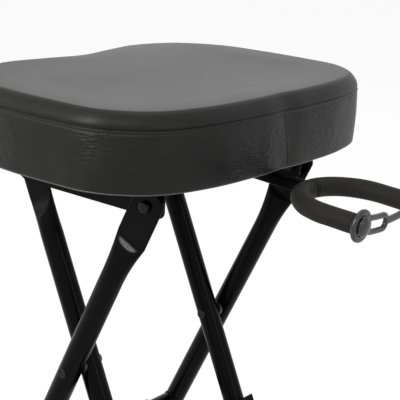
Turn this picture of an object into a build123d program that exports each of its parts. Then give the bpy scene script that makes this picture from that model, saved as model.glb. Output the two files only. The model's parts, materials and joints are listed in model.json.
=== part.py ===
from build123d import *
from math import sin, cos, tan, radians, degrees
import os

os.makedirs("parts", exist_ok=True)

# Driving dimensions, in millimetres
pivot_height = 300.0
lean_deg = 24.9
leg_axis_width = 266.6
leg_inset = 29.45
hinge_reach = 223.2
tube_diameter = 25.0
tube_wall = 1.5
seat_width = 433.6
seat_depth = 311.0
seat_shift = 8.4
hinge_drop = 28.95
pad_height = 74.0
pad_edge_radius = 12.0
cover_thickness = 1.5
board_thickness = 12.0
board_inset = 3.0
dust_cover_thickness = 1.0

# Clearances
running_gap = 0.05
face_gap = 0.1
slot_gap = 0.15
ear_bore_gap = 0.2
overrun = 5.0

# Flattened leg ends
flat_thickness = 3.2
outer_flat_width = 38.0
outer_flat_offset = 3.0
outer_flat_length = 42.5
outer_flat_tail = 17.0
outer_end_radius = 9.0
outer_crimp_length = 8.0
outer_spread_length = 35.0
inner_flat_width = 35.0
inner_flat_length = 35.0
inner_flat_tail = 16.5
inner_end_radius = 16.0
inner_crimp_length = 24.0
inner_spread_length = 30.0

# Fasteners of the frame
rivet_radius = 4.0
rivet_head_radius = 5.6
rivet_head_height = 1.2
rivet_edge_radius = 0.8
spacer_radius = 9.0
bolt_radius = 4.0
bolt_head_radius = 6.3
bolt_head_height = 4.5
bolt_edge_radius = 2.5
nut_width = 13.0
nut_height = 6.0

# Seat rails
rail_thickness = 2.5
rail_drop = 43.0
rail_front_margin = 12.0
rail_rear_margin = 13.0
rail_front_radius = 26.0
rail_rear_radius = 8.0
rail_flange_width = 24.0
slot_end_distance = 60.0
screw_radius = 2.5
screw_length = 9.0
screw_head_radius = 5.0
screw_head_height = 2.5
rail_screw_share = 0.36

# Feet and cross bars: distances run down the legs from the rivets, the rise up them from the floor
cap_wall = 2.5
cap_length = 32.0
cap_sole = 6.0
bar_diameter = 22.0
bar_wall = 1.5
footrest_distance = 165.0
sleeve_wall = 3.0
sleeve_length = 170.0
cross_bar_rise = 90.7
rest_bar_distance = 131.0
rest_bar_diameter = 19.0
rest_foam_wall = 5.0
rest_foam_length = 150.0
rest_cap_length = 8.0
rest_bar_overhang = 10.0
clip_thickness = 2.0
clip_width = 38.0

# Lower cradle
cradle_rod_radius = 5.0
cradle_half_width = 62.0
cradle_reach = 130.0
cradle_tip_rise = 32.0
cradle_bend_radius = 22.0
cradle_foam_radius = 11.0
cradle_foam_start = 30.0
cradle_cap_radius = 12.0
cradle_cap_length = 10.0
cradle_offset = 26.0
ear_thickness = 4.0
ear_radius = 9.0

# Yoke, its arm and the brackets under the board: the arm droops by arm_droop_deg from its pivot
arm_size = 12.0
arm_wall = 1.5
arm_gap = 0.85
arm_pivot_x = 90.0
arm_reach = 106.3
arm_offset = 0.6
arm_droop_deg = 3.24
yoke_radius = 52.4
yoke_run = 86.5
yoke_rod_radius = 4.5
yoke_foam_radius = 10.0
foam_joint_deg = 9.0
foam_joint_gap = 0.6
bracket_thickness = 3.0
bracket_length = 44.0
bracket_flange = 16.0
bracket_lip = 3.0
bracket_corner_radius = 7.0
bracket_notch_gap = 1.0
arm_bolt_radius = 4.0
flange_radius = 13.0
flange_height = 3.0
button_neck_radius = 3.8
button_radius = 9.3
button_height = 5.0
button_edge_radius = 3.5
strap_thickness = 5.2
strap_ring_radius = 17.0
strap_bore_radius = 9.0
strap_bore_gap = 0.3
strap_link_offset = 7.0
strap_link_length = 34.0
strap_link_height = 18.5
strap_link_bar = 4.6
strap_bar_height = 6.0

# Seat outline: shares of half the depth (X) and half the width (Y), from the rear to the front
outline_shares = [(0.99, 0.0), (1.0, 0.18), (0.97, 0.52), (0.85, 0.80), (0.57, 0.97), (0.20, 1.0),
                  (-0.18, 0.995), (-0.56, 0.95), (-0.87, 0.775), (-1.0, 0.49), (-0.955, 0.22), (-0.91, 0.0)]

# Worked-out places
tube_radius = tube_diameter / 2
lean = radians(lean_deg)
outer_y = leg_axis_width / 2
inner_y = outer_y - leg_inset
rail_y = (outer_y + inner_y) / 2
hinge_dx = hinge_reach * sin(lean)
cap_radius = tube_radius + cap_wall
front_reach = pivot_height * tan(lean) + cap_radius / cos(lean)
droop = radians(arm_droop_deg)
hub_reach = arm_pivot_x + arm_reach * cos(droop) - arm_offset * sin(droop)
strap_run = yoke_run + flange_height + face_gap
button_run = strap_run + strap_thickness + face_gap
rear_reach = (hub_reach + (button_run + button_height - button_edge_radius) * cos(droop)
              + (button_radius - button_edge_radius) * sin(droop) + button_edge_radius)
pivot_x = (front_reach - rear_reach) / 2
leg_run = pivot_height / cos(lean)
tube_run = leg_run - cap_sole - cap_radius * tan(lean)
bar_radius = bar_diameter / 2
rest_bar_radius = rest_bar_diameter / 2
sides = (("left", -1), ("right", 1))
OUTER_LEAN = 1
INNER_LEAN = -1
pad_bottom = pivot_height + hinge_reach * cos(lean) + hinge_drop
board_bottom = pad_bottom + dust_cover_thickness
pivot_room = max(arm_size / 2, nut_width / 2, bolt_head_radius)
arm_x = pivot_x + arm_pivot_x
arm_z = pad_bottom - arm_gap - pivot_room
hub_z = arm_z - arm_reach * sin(droop) - arm_offset * cos(droop)
yoke_plane = Plane(origin=(pivot_x + hub_reach, 0, hub_z), x_dir=(cos(droop), 0, -sin(droop)),
                   z_dir=(sin(droop), 0, cos(droop)))
cross_bar_distance = leg_run - cross_bar_rise


def leg_point(lean_side, y, along, off=0):
    """Point on a leg's axis, moved off it towards the rear; along is measured up from the rivet."""
    return Vector(pivot_x + lean_side * along * sin(lean) + off * cos(lean), y,
                  pivot_height + along * cos(lean) - lean_side * off * sin(lean))


def leg_plane(lean_side, y, along, off=0):
    """Plane square to a leg: its x runs along global Y and its z up the leg."""
    return Plane(origin=leg_point(lean_side, y, along, off), x_dir=(0, 1, 0),
                 z_dir=(lean_side * sin(lean), 0, cos(lean)))


def cross_plane(point, y):
    """Plane square to global Y at height y, through a point of the side view."""
    return Plane(origin=(point.X, y, point.Z), x_dir=(1, 0, 0), z_dir=(0, 1, 0))


def yoke_section(along, across, above=0):
    """Plane square to the yoke's arms, at a place in the yoke's own plane: x along global Y, y up."""
    return Plane(origin=yoke_plane.from_local_coords((along, across, above)), x_dir=(0, 1, 0),
                 z_dir=yoke_plane.x_dir)


def outline_points(inset):
    """Closed seat outline, shrunk by an inset, from the shares of one half."""
    half_x = seat_depth / 2 - inset
    half_y = seat_width / 2 - inset
    centre = pivot_x + seat_shift
    half = [(centre + sx * half_x, sy * half_y) for sx, sy in outline_shares]
    return half + [(x, -y) for x, y in reversed(half[1:-1])]


def save(part_builder, name):
    part_builder.part.label = name
    export_step(part_builder.part, "parts/" + name + ".step")


# Legs: round tube spread to an oval, pressed between two ramps to a flat with a bolt hole
def leg_long_plane(lean_side, y):
    """Plane along a leg: its x runs along global Y and its y up the leg from the rivet."""
    return Plane(origin=leg_point(lean_side, y, 0), x_dir=(0, 1, 0),
                 z_dir=(cos(lean), 0, -lean_side * sin(lean)))


for (frame_name, lean_side, leg_y, flat_width, flat_offset, flat_length, flat_tail, end_radius,
     crimp_length, spread_length) in (
        ("outer", OUTER_LEAN, outer_y, outer_flat_width, outer_flat_offset, outer_flat_length,
         outer_flat_tail, outer_end_radius, outer_crimp_length, outer_spread_length),
        ("inner", INNER_LEAN, inner_y, inner_flat_width, 0, inner_flat_length,
         inner_flat_tail, inner_end_radius, inner_crimp_length, inner_spread_length)):
    flat_start = hinge_reach - flat_length
    crimp_start = flat_start - crimp_length
    spread_start = flat_start - spread_length
    bore_end = crimp_start - tube_wall
    bore_spread = (flat_width / 2 - tube_radius) * (bore_end - spread_start) / spread_length
    for side_name, side in sides:
        y = side * leg_y
        flat_y = y - side * flat_offset
        top = leg_point(lean_side, 0, hinge_reach)
        rivet = leg_point(lean_side, 0, 0)
        with BuildPart() as leg:
            with BuildSketch(leg_plane(lean_side, y, -tube_run)):
                Circle(tube_radius)
                Circle(tube_radius - tube_wall, mode=Mode.SUBTRACT)
            extrude(amount=tube_run + spread_start)
            with BuildSketch(leg_plane(lean_side, y, spread_start)):
                Circle(tube_radius)
            with BuildSketch(leg_plane(lean_side, y, flat_start)):
                Ellipse(tube_radius, flat_width / 2)
            loft()
            with BuildSketch(leg_plane(lean_side, y, spread_start)):
                Circle(tube_radius - tube_wall)
            with BuildSketch(leg_plane(lean_side, y, bore_end)):
                Ellipse(tube_radius - tube_wall, tube_radius - tube_wall + bore_spread)
            loft(mode=Mode.SUBTRACT)
            for face in (-1, 1):
                ramp_foot = flat_y - y + face * flat_thickness / 2
                ramp_out = face * (tube_radius + overrun)
                with BuildSketch(leg_long_plane(lean_side, y)):
                    with BuildLine():
                        Polyline((face * tube_radius, crimp_start), (ramp_foot, flat_start),
                                 (ramp_foot, flat_start + overrun), (ramp_out, flat_start + overrun),
                                 (ramp_out, crimp_start), close=True)
                    make_face()
                extrude(amount=flat_width, both=True, mode=Mode.SUBTRACT)
            with BuildSketch(leg_plane(lean_side, flat_y, flat_start)):
                Rectangle(flat_thickness, flat_width)
            extrude(amount=flat_length + flat_tail)
            end_edges = leg.edges().filter_by(Axis.Y).group_by(Axis(top, top - rivet))[-1]
            fillet(end_edges, end_radius)
            with BuildSketch(cross_plane(top, flat_y)):
                Circle(bolt_radius + running_gap)
            extrude(amount=flat_thickness, both=True, mode=Mode.SUBTRACT)
            with BuildSketch(cross_plane(rivet, y)):
                Circle(rivet_radius + running_gap)
            extrude(amount=tube_diameter, both=True, mode=Mode.SUBTRACT)
        save(leg, frame_name + "_leg_" + side_name)

# Foot caps: rubber cups, cut level with the floor
for cap_name, lean_side, leg_y in (("front_foot_caps", OUTER_LEAN, outer_y),
                                   ("rear_foot_caps", INNER_LEAN, inner_y)):
    with BuildPart() as caps:
        for side_name, side in sides:
            with BuildSketch(leg_plane(lean_side, side * leg_y, -tube_run + cap_length)):
                Circle(cap_radius)
            extrude(amount=-(cap_length + leg_run))
            with BuildSketch(leg_plane(lean_side, side * leg_y, -tube_run)):
                Circle(tube_radius)
            extrude(amount=cap_length + overrun, mode=Mode.SUBTRACT)
        split(bisect_by=Plane.XY, keep=Keep.TOP)
    save(caps, cap_name)

# Rivets through both legs, and the spacers between them
rivet_span = leg_inset + 2 * tube_radius
with BuildPart() as rivets:
    for side_name, side in sides:
        outside = side * (outer_y + tube_radius)
        inside = side * (inner_y - tube_radius - face_gap)
        for y, reach, radius in ((outside, -side * (rivet_span + face_gap), rivet_radius),
                                 (outside, side * rivet_head_height, rivet_head_radius),
                                 (inside, -side * rivet_head_height, rivet_head_radius)):
            with BuildSketch(cross_plane(leg_point(OUTER_LEAN, 0, 0), y)):
                Circle(radius)
            extrude(amount=reach)
    for end in (0, -1):
        fillet(rivets.edges().filter_by(GeomType.CIRCLE).group_by(Axis.Y)[end], rivet_edge_radius)
save(rivets, "pivot_rivets")

with BuildPart() as spacers:
    for side_name, side in sides:
        with BuildSketch(cross_plane(leg_point(OUTER_LEAN, 0, 0), side * (outer_y - tube_radius))):
            Circle(spacer_radius)
            Circle(rivet_radius, mode=Mode.SUBTRACT)
        extrude(amount=-side * (leg_inset - tube_diameter - face_gap))
save(spacers, "pivot_spacers")


def bar_between_legs(name, lean_side, leg_y, along):
    """Tube along Y whose ends are coped to the legs."""
    with BuildPart() as bar:
        with BuildSketch(cross_plane(leg_point(lean_side, 0, along), 0)):
            Circle(bar_radius)
            Circle(bar_radius - bar_wall, mode=Mode.SUBTRACT)
        extrude(amount=leg_y, both=True)
        for side_name, side in sides:
            with BuildSketch(leg_plane(lean_side, side * leg_y, along - bar_diameter)):
                Circle(tube_radius)
            extrude(amount=2 * bar_diameter, mode=Mode.SUBTRACT)
    save(bar, name)


bar_between_legs("footrest_bar", OUTER_LEAN, outer_y, -footrest_distance)
bar_between_legs("inner_cross_bar", INNER_LEAN, inner_y, -cross_bar_distance)

with BuildPart() as sleeve:
    with BuildSketch(cross_plane(leg_point(OUTER_LEAN, 0, -footrest_distance), 0)):
        Circle(bar_radius + sleeve_wall)
        Circle(bar_radius, mode=Mode.SUBTRACT)
    extrude(amount=sleeve_length / 2, both=True)
save(sleeve, "footrest_sleeve")

# Body rest: a bar across the rear face of the inner legs, with foam, end caps and clips
rest_off = tube_radius + clip_thickness + rest_bar_radius
rest_centre = leg_point(INNER_LEAN, 0, -rest_bar_distance, rest_off)
rest_half = inner_y + rest_bar_overhang
with BuildPart() as rest_bar:
    with BuildSketch(cross_plane(rest_centre, 0)):
        Circle(rest_bar_radius)
        Circle(rest_bar_radius - bar_wall, mode=Mode.SUBTRACT)
    extrude(amount=rest_half, both=True)
save(rest_bar, "body_rest_bar")

with BuildPart() as rest_foam:
    with BuildSketch(cross_plane(rest_centre, 0)):
        Circle(rest_bar_radius + rest_foam_wall)
        Circle(rest_bar_radius, mode=Mode.SUBTRACT)
    extrude(amount=rest_foam_length / 2, both=True)
save(rest_foam, "body_rest_foam")

with BuildPart() as rest_caps:
    for side_name, side in sides:
        with BuildSketch(cross_plane(rest_centre, side * rest_half)):
            Circle(rest_bar_radius)
        extrude(amount=side * rest_cap_length / 2)
save(rest_caps, "body_rest_caps")

with BuildPart() as clips:
    for side_name, side in sides:
        with BuildSketch(leg_plane(INNER_LEAN, side * inner_y, -rest_bar_distance - clip_width / 2,
                                   tube_radius + clip_thickness / 2)):
            Rectangle(clip_width, clip_thickness)
        extrude(amount=clip_width)
save(clips, "body_rest_clips")

# Seat rails: angle section with a slot for the slide pin
rail_front = pivot_x - hinge_dx - rail_front_margin
rail_rear = pivot_x + hinge_dx + rail_rear_margin
rail_low = pad_bottom - rail_drop
hinge_point = leg_point(OUTER_LEAN, 0, hinge_reach)
slide_point = leg_point(INNER_LEAN, 0, hinge_reach)
slot_travel = 2 * hinge_dx - slot_end_distance
slot_radius = bolt_radius + slot_gap
flange_inner = rail_y - rail_flange_width
rail_length = rail_rear - rail_front
rail_middle = (rail_front + rail_rear) / 2
for side_name, side in sides:
    with BuildPart() as rail:
        with BuildSketch(cross_plane(Vector(rail_middle, 0, (rail_low + pad_bottom) / 2), side * rail_y)):
            Rectangle(rail_length, rail_drop)
        extrude(amount=rail_thickness / 2, both=True)
        for corner, radius in ((0, rail_front_radius), (-1, rail_rear_radius)):
            low_edges = rail.edges().filter_by(Axis.Y).group_by(Axis.Z)[0].sort_by(Axis.X)
            fillet(low_edges[corner], radius)
        with BuildSketch(Plane.XY.offset(pad_bottom)):
            with Locations((rail_middle, side * (rail_y + flange_inner) / 2)):
                Rectangle(rail_length, rail_flange_width)
        extrude(amount=-rail_thickness)
        with BuildSketch(cross_plane(hinge_point, side * rail_y)):
            Circle(bolt_radius)
        extrude(amount=rail_thickness, both=True, mode=Mode.SUBTRACT)
        slot_middle = Vector(slide_point.X + slot_travel / 2, 0, slide_point.Z)
        with BuildSketch(cross_plane(slot_middle, side * rail_y)):
            SlotCenterToCenter(slot_travel, 2 * slot_radius)
        extrude(amount=rail_thickness, both=True, mode=Mode.SUBTRACT)
        with BuildSketch(Plane.XY.offset(pad_bottom)):
            for place in (-1, 1):
                with Locations((rail_middle + place * rail_screw_share * rail_length,
                                side * (rail_y - rail_flange_width / 2))):
                    Circle(screw_radius)
        extrude(amount=-rail_thickness, mode=Mode.SUBTRACT)
    save(rail, "seat_rail_" + side_name)

screw_places = [(rail_middle + place * rail_screw_share * rail_length,
                 side * (rail_y - rail_flange_width / 2)) for side_name, side in sides for place in (-1, 1)]

# Hinge bolts, spacers and nuts at the rear leg tops
flat_centre_y = outer_y - outer_flat_offset
flat_out = flat_centre_y + flat_thickness / 2
flat_in = flat_centre_y - flat_thickness / 2
web_out = rail_y + rail_thickness / 2
web_in = rail_y - rail_thickness / 2
with BuildPart() as hinge_bolts:
    for side_name, side in sides:
        with BuildSketch(cross_plane(hinge_point, side * (flat_out + face_gap))):
            Circle(bolt_radius)
        extrude(amount=-side * (flat_out + face_gap - web_in + nut_height))
        with BuildSketch(cross_plane(hinge_point, side * (flat_out + face_gap))):
            Circle(bolt_head_radius)
        extrude(amount=side * bolt_head_height)
    for end in (0, -1):
        fillet(hinge_bolts.edges().filter_by(GeomType.CIRCLE).group_by(Axis.Y)[end], bolt_edge_radius)
save(hinge_bolts, "hinge_bolts")

with BuildPart() as hinge_spacers:
    for side_name, side in sides:
        with BuildSketch(cross_plane(hinge_point, side * web_out)):
            Circle(spacer_radius)
            Circle(bolt_radius, mode=Mode.SUBTRACT)
        extrude(amount=side * (flat_in - web_out - face_gap))
save(hinge_spacers, "hinge_spacers")

with BuildPart() as hinge_nuts:
    for side_name, side in sides:
        with BuildSketch(cross_plane(hinge_point, side * web_in)):
            RegularPolygon(nut_width / 2, 6, major_radius=False)
            Circle(bolt_radius, mode=Mode.SUBTRACT)
        extrude(amount=-side * nut_height)
save(hinge_nuts, "hinge_nuts")

# Slide pins: fixed in the front leg tops, running in the rail slots
inner_flat_out = inner_y + flat_thickness / 2
inner_flat_in = inner_y - flat_thickness / 2
pin_end = web_out + face_gap
with BuildPart() as slide_pins:
    for side_name, side in sides:
        for start, end, radius in ((inner_flat_in, pin_end, bolt_radius),
                                   (inner_flat_out, web_in - face_gap, spacer_radius),
                                   (pin_end, pin_end + rivet_head_height, rivet_head_radius),
                                   (inner_flat_in, inner_flat_in - rivet_head_height, rivet_head_radius)):
            with BuildSketch(cross_plane(slide_point, side * start)):
                Circle(radius)
            extrude(amount=side * (end - start))
save(slide_pins, "slide_pins")

# Seat: dust cover, board, foam and the wrapped cover
with BuildPart() as dust_cover:
    with BuildSketch(Plane.XY.offset(pad_bottom)):
        with BuildLine():
            Spline(*outline_points(board_inset), periodic=True)
        make_face()
        with Locations(*screw_places):
            Circle(screw_radius, mode=Mode.SUBTRACT)
    extrude(amount=dust_cover_thickness)

with BuildPart() as board:
    with BuildSketch(Plane.XY.offset(board_bottom)):
        with BuildLine():
            Spline(*outline_points(board_inset), periodic=True)
        make_face()
    extrude(amount=board_thickness)
    with BuildSketch(Plane.XY.offset(board_bottom)):
        with Locations(*screw_places):
            Circle(screw_radius)
    extrude(amount=screw_length, mode=Mode.SUBTRACT)

board_top = board_bottom + board_thickness
pad_top = pad_bottom + pad_height
with BuildPart() as foam:
    with BuildSketch(Plane.XY.offset(board_top)):
        with BuildLine():
            Spline(*outline_points(board_inset), periodic=True)
        make_face()
    extrude(amount=pad_top - cover_thickness - board_top)
    fillet(foam.edges().group_by(Axis.Z)[-1], pad_edge_radius - cover_thickness)

with BuildPart() as cover:
    with BuildSketch(Plane.XY.offset(pad_bottom)):
        with BuildLine():
            Spline(*outline_points(0), periodic=True)
        make_face()
    extrude(amount=pad_height)
    fillet(cover.edges().group_by(Axis.Z)[-1], pad_edge_radius)
    with BuildSketch(Plane.XY.offset(pad_bottom)):
        with BuildLine():
            Spline(*outline_points(board_inset), periodic=True)
        make_face()
    extrude(amount=board_top - pad_bottom, mode=Mode.SUBTRACT)
    add(foam.part, mode=Mode.SUBTRACT)
save(foam, "seat_foam")
save(cover, "seat_cover")

# Screws that hold the rails
with BuildPart() as rail_screws:
    with BuildSketch(Plane.XY.offset(pad_bottom - rail_thickness)):
        with Locations(*screw_places):
            Circle(screw_radius)
    extrude(amount=rail_thickness + dust_cover_thickness + screw_length)
    with BuildSketch(Plane.XY.offset(pad_bottom - rail_thickness)):
        with Locations(*screw_places):
            Circle(screw_head_radius)
    extrude(amount=-screw_head_height)
save(rail_screws, "rail_screws")

# Yoke brackets: two angles under the board whose cheeks carry the arm's pivot bolt
cheek_inner = arm_size / 2 + face_gap
cheek_outer = cheek_inner + bracket_thickness
bracket_half = cheek_outer + bracket_flange
cheek_low = arm_z - pivot_room - bracket_lip
arm_pivot = Vector(arm_x, 0, arm_z)
notch_radius = nut_width / 2 / cos(radians(30)) + bracket_notch_gap
bracket_screw_places = [(arm_x + end * (bracket_length / 2 - screw_head_radius - running_gap),
                         side * (cheek_outer + bracket_flange / 2)) for end in (-1, 1) for side in (-1, 1)]
with BuildPart() as brackets:
    for side_name, side in sides:
        with BuildSketch(Plane.XY.offset(pad_bottom)):
            with Locations((arm_x, side * (cheek_inner + bracket_half) / 2)):
                Rectangle(bracket_length, bracket_half - cheek_inner)
        extrude(amount=-bracket_thickness)
        with BuildSketch(Plane.XY.offset(pad_bottom - bracket_thickness)):
            with Locations((arm_x, side * (cheek_inner + cheek_outer) / 2)):
                Rectangle(bracket_length, bracket_thickness)
        extrude(amount=-(pad_bottom - bracket_thickness - cheek_low))
    fillet(brackets.edges().filter_by(Axis.Y).group_by(Axis.Z)[0], bracket_corner_radius)
    with BuildSketch(Plane.XY.offset(pad_bottom)):
        with Locations(*bracket_screw_places):
            Circle(screw_radius)
    extrude(amount=-bracket_thickness, mode=Mode.SUBTRACT)
    with BuildSketch(cross_plane(arm_pivot, 0)):
        Circle(arm_bolt_radius)
    extrude(amount=bracket_half, both=True, mode=Mode.SUBTRACT)
    for side_name, side in sides:
        with BuildSketch(cross_plane(arm_pivot, side * cheek_outer)):
            Circle(notch_radius)
        extrude(amount=side * (nut_height + bracket_notch_gap), mode=Mode.SUBTRACT)
save(brackets, "yoke_brackets")

with BuildPart() as bracket_screws:
    with BuildSketch(Plane.XY.offset(pad_bottom - bracket_thickness)):
        with Locations(*bracket_screw_places):
            Circle(screw_radius)
    extrude(amount=bracket_thickness + dust_cover_thickness + screw_length)
    with BuildSketch(Plane.XY.offset(pad_bottom - bracket_thickness)):
        with Locations(*bracket_screw_places):
            Circle(screw_head_radius)
    extrude(amount=-screw_head_height)
save(bracket_screws, "bracket_screws")

for layer in (dust_cover, board):
    with layer:
        with BuildSketch(Plane.XY.offset(pad_bottom)):
            with Locations(*bracket_screw_places):
                Circle(screw_radius)
        extrude(amount=dust_cover_thickness + screw_length, mode=Mode.SUBTRACT)
save(dust_cover, "dust_cover")
save(board, "seat_board")

# Pivot bolt of the arm, its head on the right cheek, and the lock nut on the left one
with BuildPart() as arm_bolt:
    with BuildSketch(cross_plane(arm_pivot, cheek_outer)):
        Circle(arm_bolt_radius)
    extrude(amount=-(2 * cheek_outer + nut_height))
    with BuildSketch(cross_plane(arm_pivot, cheek_outer)):
        Circle(bolt_head_radius)
    extrude(amount=bolt_head_height)
    fillet(arm_bolt.edges().filter_by(GeomType.CIRCLE).group_by(Axis.Y)[-1], bolt_edge_radius)
save(arm_bolt, "arm_pivot_bolt")

with BuildPart() as arm_nut:
    with BuildSketch(cross_plane(arm_pivot, -cheek_outer)):
        RegularPolygon(nut_width / 2, 6, major_radius=False)
        Circle(arm_bolt_radius, mode=Mode.SUBTRACT)
    extrude(amount=-nut_height)
save(arm_nut, "arm_pivot_nut")

# Yoke: square arm with a round pivot end, bent rod, two foam sleeves
arm_run = arm_reach - yoke_rod_radius
arm_plane = Plane(origin=arm_pivot, x_dir=yoke_plane.x_dir, z_dir=(0, 1, 0))
with BuildPart() as arm:
    with BuildSketch(arm_plane):
        Circle(arm_size / 2)
        with Locations((arm_run / 2, 0)):
            Rectangle(arm_run, arm_size)
    extrude(amount=arm_size / 2, both=True)
    with BuildSketch(yoke_section(-yoke_rod_radius, 0, arm_offset)):
        Rectangle(arm_size - 2 * arm_wall, arm_size - 2 * arm_wall)
    extrude(amount=-arm_run, mode=Mode.SUBTRACT)
    with BuildSketch(arm_plane):
        Circle(arm_bolt_radius + running_gap)
    extrude(amount=arm_size, both=True, mode=Mode.SUBTRACT)
save(arm, "yoke_arm")


def swept_yoke(radius, start_deg, end_deg, start_straight, end_straight, bore):
    """Round bar along the U: an arc about the bend's centre, with straight runs to the tips."""
    with BuildPart() as bar:
        with BuildLine(yoke_plane) as path:
            arc = CenterArc((yoke_radius, 0), yoke_radius, start_deg, end_deg - start_deg)
            if start_straight:
                Line((yoke_run, yoke_radius), (yoke_radius, yoke_radius))
            if end_straight:
                Line((yoke_radius, -yoke_radius), (yoke_run, -yoke_radius))
        first = path.wires()[0]
        if start_straight:
            section_plane = yoke_section(yoke_run, yoke_radius)
        else:
            section_plane = Plane(origin=arc.position_at(0), z_dir=arc.tangent_at(0))
        with BuildSketch(section_plane):
            Circle(radius)
            if bore:
                Circle(bore, mode=Mode.SUBTRACT)
        sweep(path=first)
    return bar


yoke_rod = swept_yoke(yoke_rod_radius, 90, 270, True, True, 0)
save(yoke_rod, "yoke_rod")

joint_deg = 180 - foam_joint_deg
gap_deg = degrees(foam_joint_gap / yoke_radius)
right_foam = swept_yoke(yoke_foam_radius, 90, joint_deg - gap_deg, True, False, yoke_rod_radius)
save(right_foam, "yoke_foam_right")
with BuildPart() as left_foam:
    add(swept_yoke(yoke_foam_radius, joint_deg, 270, False, True, yoke_rod_radius).part)
    with BuildSketch(yoke_section(-yoke_rod_radius, 0, arm_offset)):
        Rectangle(arm_size, arm_size)
    extrude(amount=-yoke_foam_radius, mode=Mode.SUBTRACT)
save(left_foam, "yoke_foam_left")

# Tips: end flange, strap and button
with BuildPart() as flanges:
    for side_name, side in sides:
        with BuildSketch(yoke_section(yoke_run, side * yoke_radius)):
            Circle(flange_radius)
        extrude(amount=flange_height)
save(flanges, "yoke_end_flanges")

with BuildPart() as buttons:
    for side_name, side in sides:
        with BuildSketch(yoke_section(yoke_run + flange_height, side * yoke_radius)):
            Circle(button_neck_radius)
        extrude(amount=button_run - yoke_run - flange_height)
        with BuildSketch(yoke_section(button_run, side * yoke_radius)):
            Circle(button_radius)
        extrude(amount=button_height)
    fillet(buttons.edges().filter_by(GeomType.CIRCLE).group_by(Axis.X)[-1], button_edge_radius)
save(buttons, "strap_buttons")

# Retaining strap: a ring on each button, pulled inwards, with a link beside the left one and a plain bar
ring_y = yoke_radius - strap_bore_radius + button_neck_radius + strap_bore_gap
link_y = strap_link_offset + strap_link_length / 2 - ring_y
bar_start = link_y + (strap_link_length - strap_link_bar) / 2
bar_end = ring_y - strap_bore_radius
with BuildPart() as strap:
    with BuildSketch(yoke_section(strap_run, 0)):
        with Locations((-ring_y, 0), (ring_y, 0)):
            Circle(strap_ring_radius)
        with Locations((link_y, 0)):
            SlotOverall(strap_link_length, strap_link_height)
        with Locations(((bar_start + bar_end) / 2, 0)):
            Rectangle(bar_end - bar_start, strap_bar_height)
        with Locations((link_y, 0)):
            SlotOverall(strap_link_length - 2 * strap_link_bar, strap_link_height - 2 * strap_link_bar,
                        mode=Mode.SUBTRACT)
        with Locations((-ring_y, 0), (ring_y, 0)):
            Circle(strap_bore_radius, mode=Mode.SUBTRACT)
    extrude(amount=strap_thickness)
save(strap, "retaining_strap")

# Lower cradle: a bent rod on two ears of the cross bar, folding up about its rear run
cradle_centre = leg_point(INNER_LEAN, 0, -cross_bar_distance, cradle_offset)
ear_y = cradle_half_width / 2
with BuildPart() as ears:
    for side_name, side in sides:
        cross_point = leg_point(INNER_LEAN, 0, -cross_bar_distance)
        with BuildSketch(cross_plane(cross_point, side * ear_y)) as ear_face:
            with Locations((0, 0)):
                Circle(bar_radius + clip_thickness)
            with Locations(ear_face.workplanes[0].to_local_coords(Vector(cradle_centre.X, side * ear_y,
                                                                         cradle_centre.Z))):
                Circle(ear_radius)
            make_hull()
            Circle(bar_radius, mode=Mode.SUBTRACT)
        extrude(amount=ear_thickness / 2, both=True)
        with BuildSketch(cross_plane(cradle_centre, side * ear_y)):
            Circle(cradle_rod_radius + ear_bore_gap)
        extrude(amount=ear_thickness, both=True, mode=Mode.SUBTRACT)
save(ears, "cradle_brackets")

rod_x = cradle_centre.X
rod_z = cradle_centre.Z
prong_end_x = rod_x + cradle_reach
prong_tip_z = rod_z + cradle_tip_rise
with BuildPart() as cradle_rod:
    with BuildLine() as cradle_path:
        FilletPolyline((prong_end_x, -cradle_half_width, prong_tip_z),
                       (prong_end_x, -cradle_half_width, rod_z),
                       (rod_x, -cradle_half_width, rod_z),
                       (rod_x, cradle_half_width, rod_z),
                       (prong_end_x, cradle_half_width, rod_z),
                       (prong_end_x, cradle_half_width, prong_tip_z),
                       radius=cradle_bend_radius)
    with BuildSketch(Plane(origin=(prong_end_x, -cradle_half_width, prong_tip_z), z_dir=(0, 0, -1))):
        Circle(cradle_rod_radius)
    sweep(path=cradle_path.wires()[0])
save(cradle_rod, "cradle_rod")

foam_run = cradle_reach - cradle_foam_start - cradle_bend_radius
foam_start_x = rod_x + cradle_foam_start
for side_name, side in sides:
    with BuildPart() as cradle_foam:
        with BuildSketch(Plane(origin=(foam_start_x, side * cradle_half_width, rod_z), z_dir=(1, 0, 0))):
            Circle(cradle_foam_radius)
            Circle(cradle_rod_radius, mode=Mode.SUBTRACT)
        extrude(amount=foam_run)
    save(cradle_foam, "cradle_foam_" + side_name)

with BuildPart() as cradle_caps:
    for side_name, side in sides:
        with BuildSketch(Plane.XY.offset(prong_tip_z)):
            with Locations((prong_end_x, side * cradle_half_width)):
                Circle(cradle_cap_radius)
        extrude(amount=cradle_cap_length)
save(cradle_caps, "cradle_end_caps")
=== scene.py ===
# %% [markdown]
# A folding guitar stool, dressed for its picture. The bars, rails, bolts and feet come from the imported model
# and only get better finishes here. What is soft is modelled in this file: the padded seat with its seams,
# the foam on the yoke and the cradle, and the rubber strap that closes the yoke. So are the legs and the arm,
# whose pressed and eased forms the picture shows close up, the weld beads, and the yoke's moulded tips.

# %% Load the frame
import bmesh
import bpy
import json
import numpy as np
from mathutils import Matrix, Vector


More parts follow.
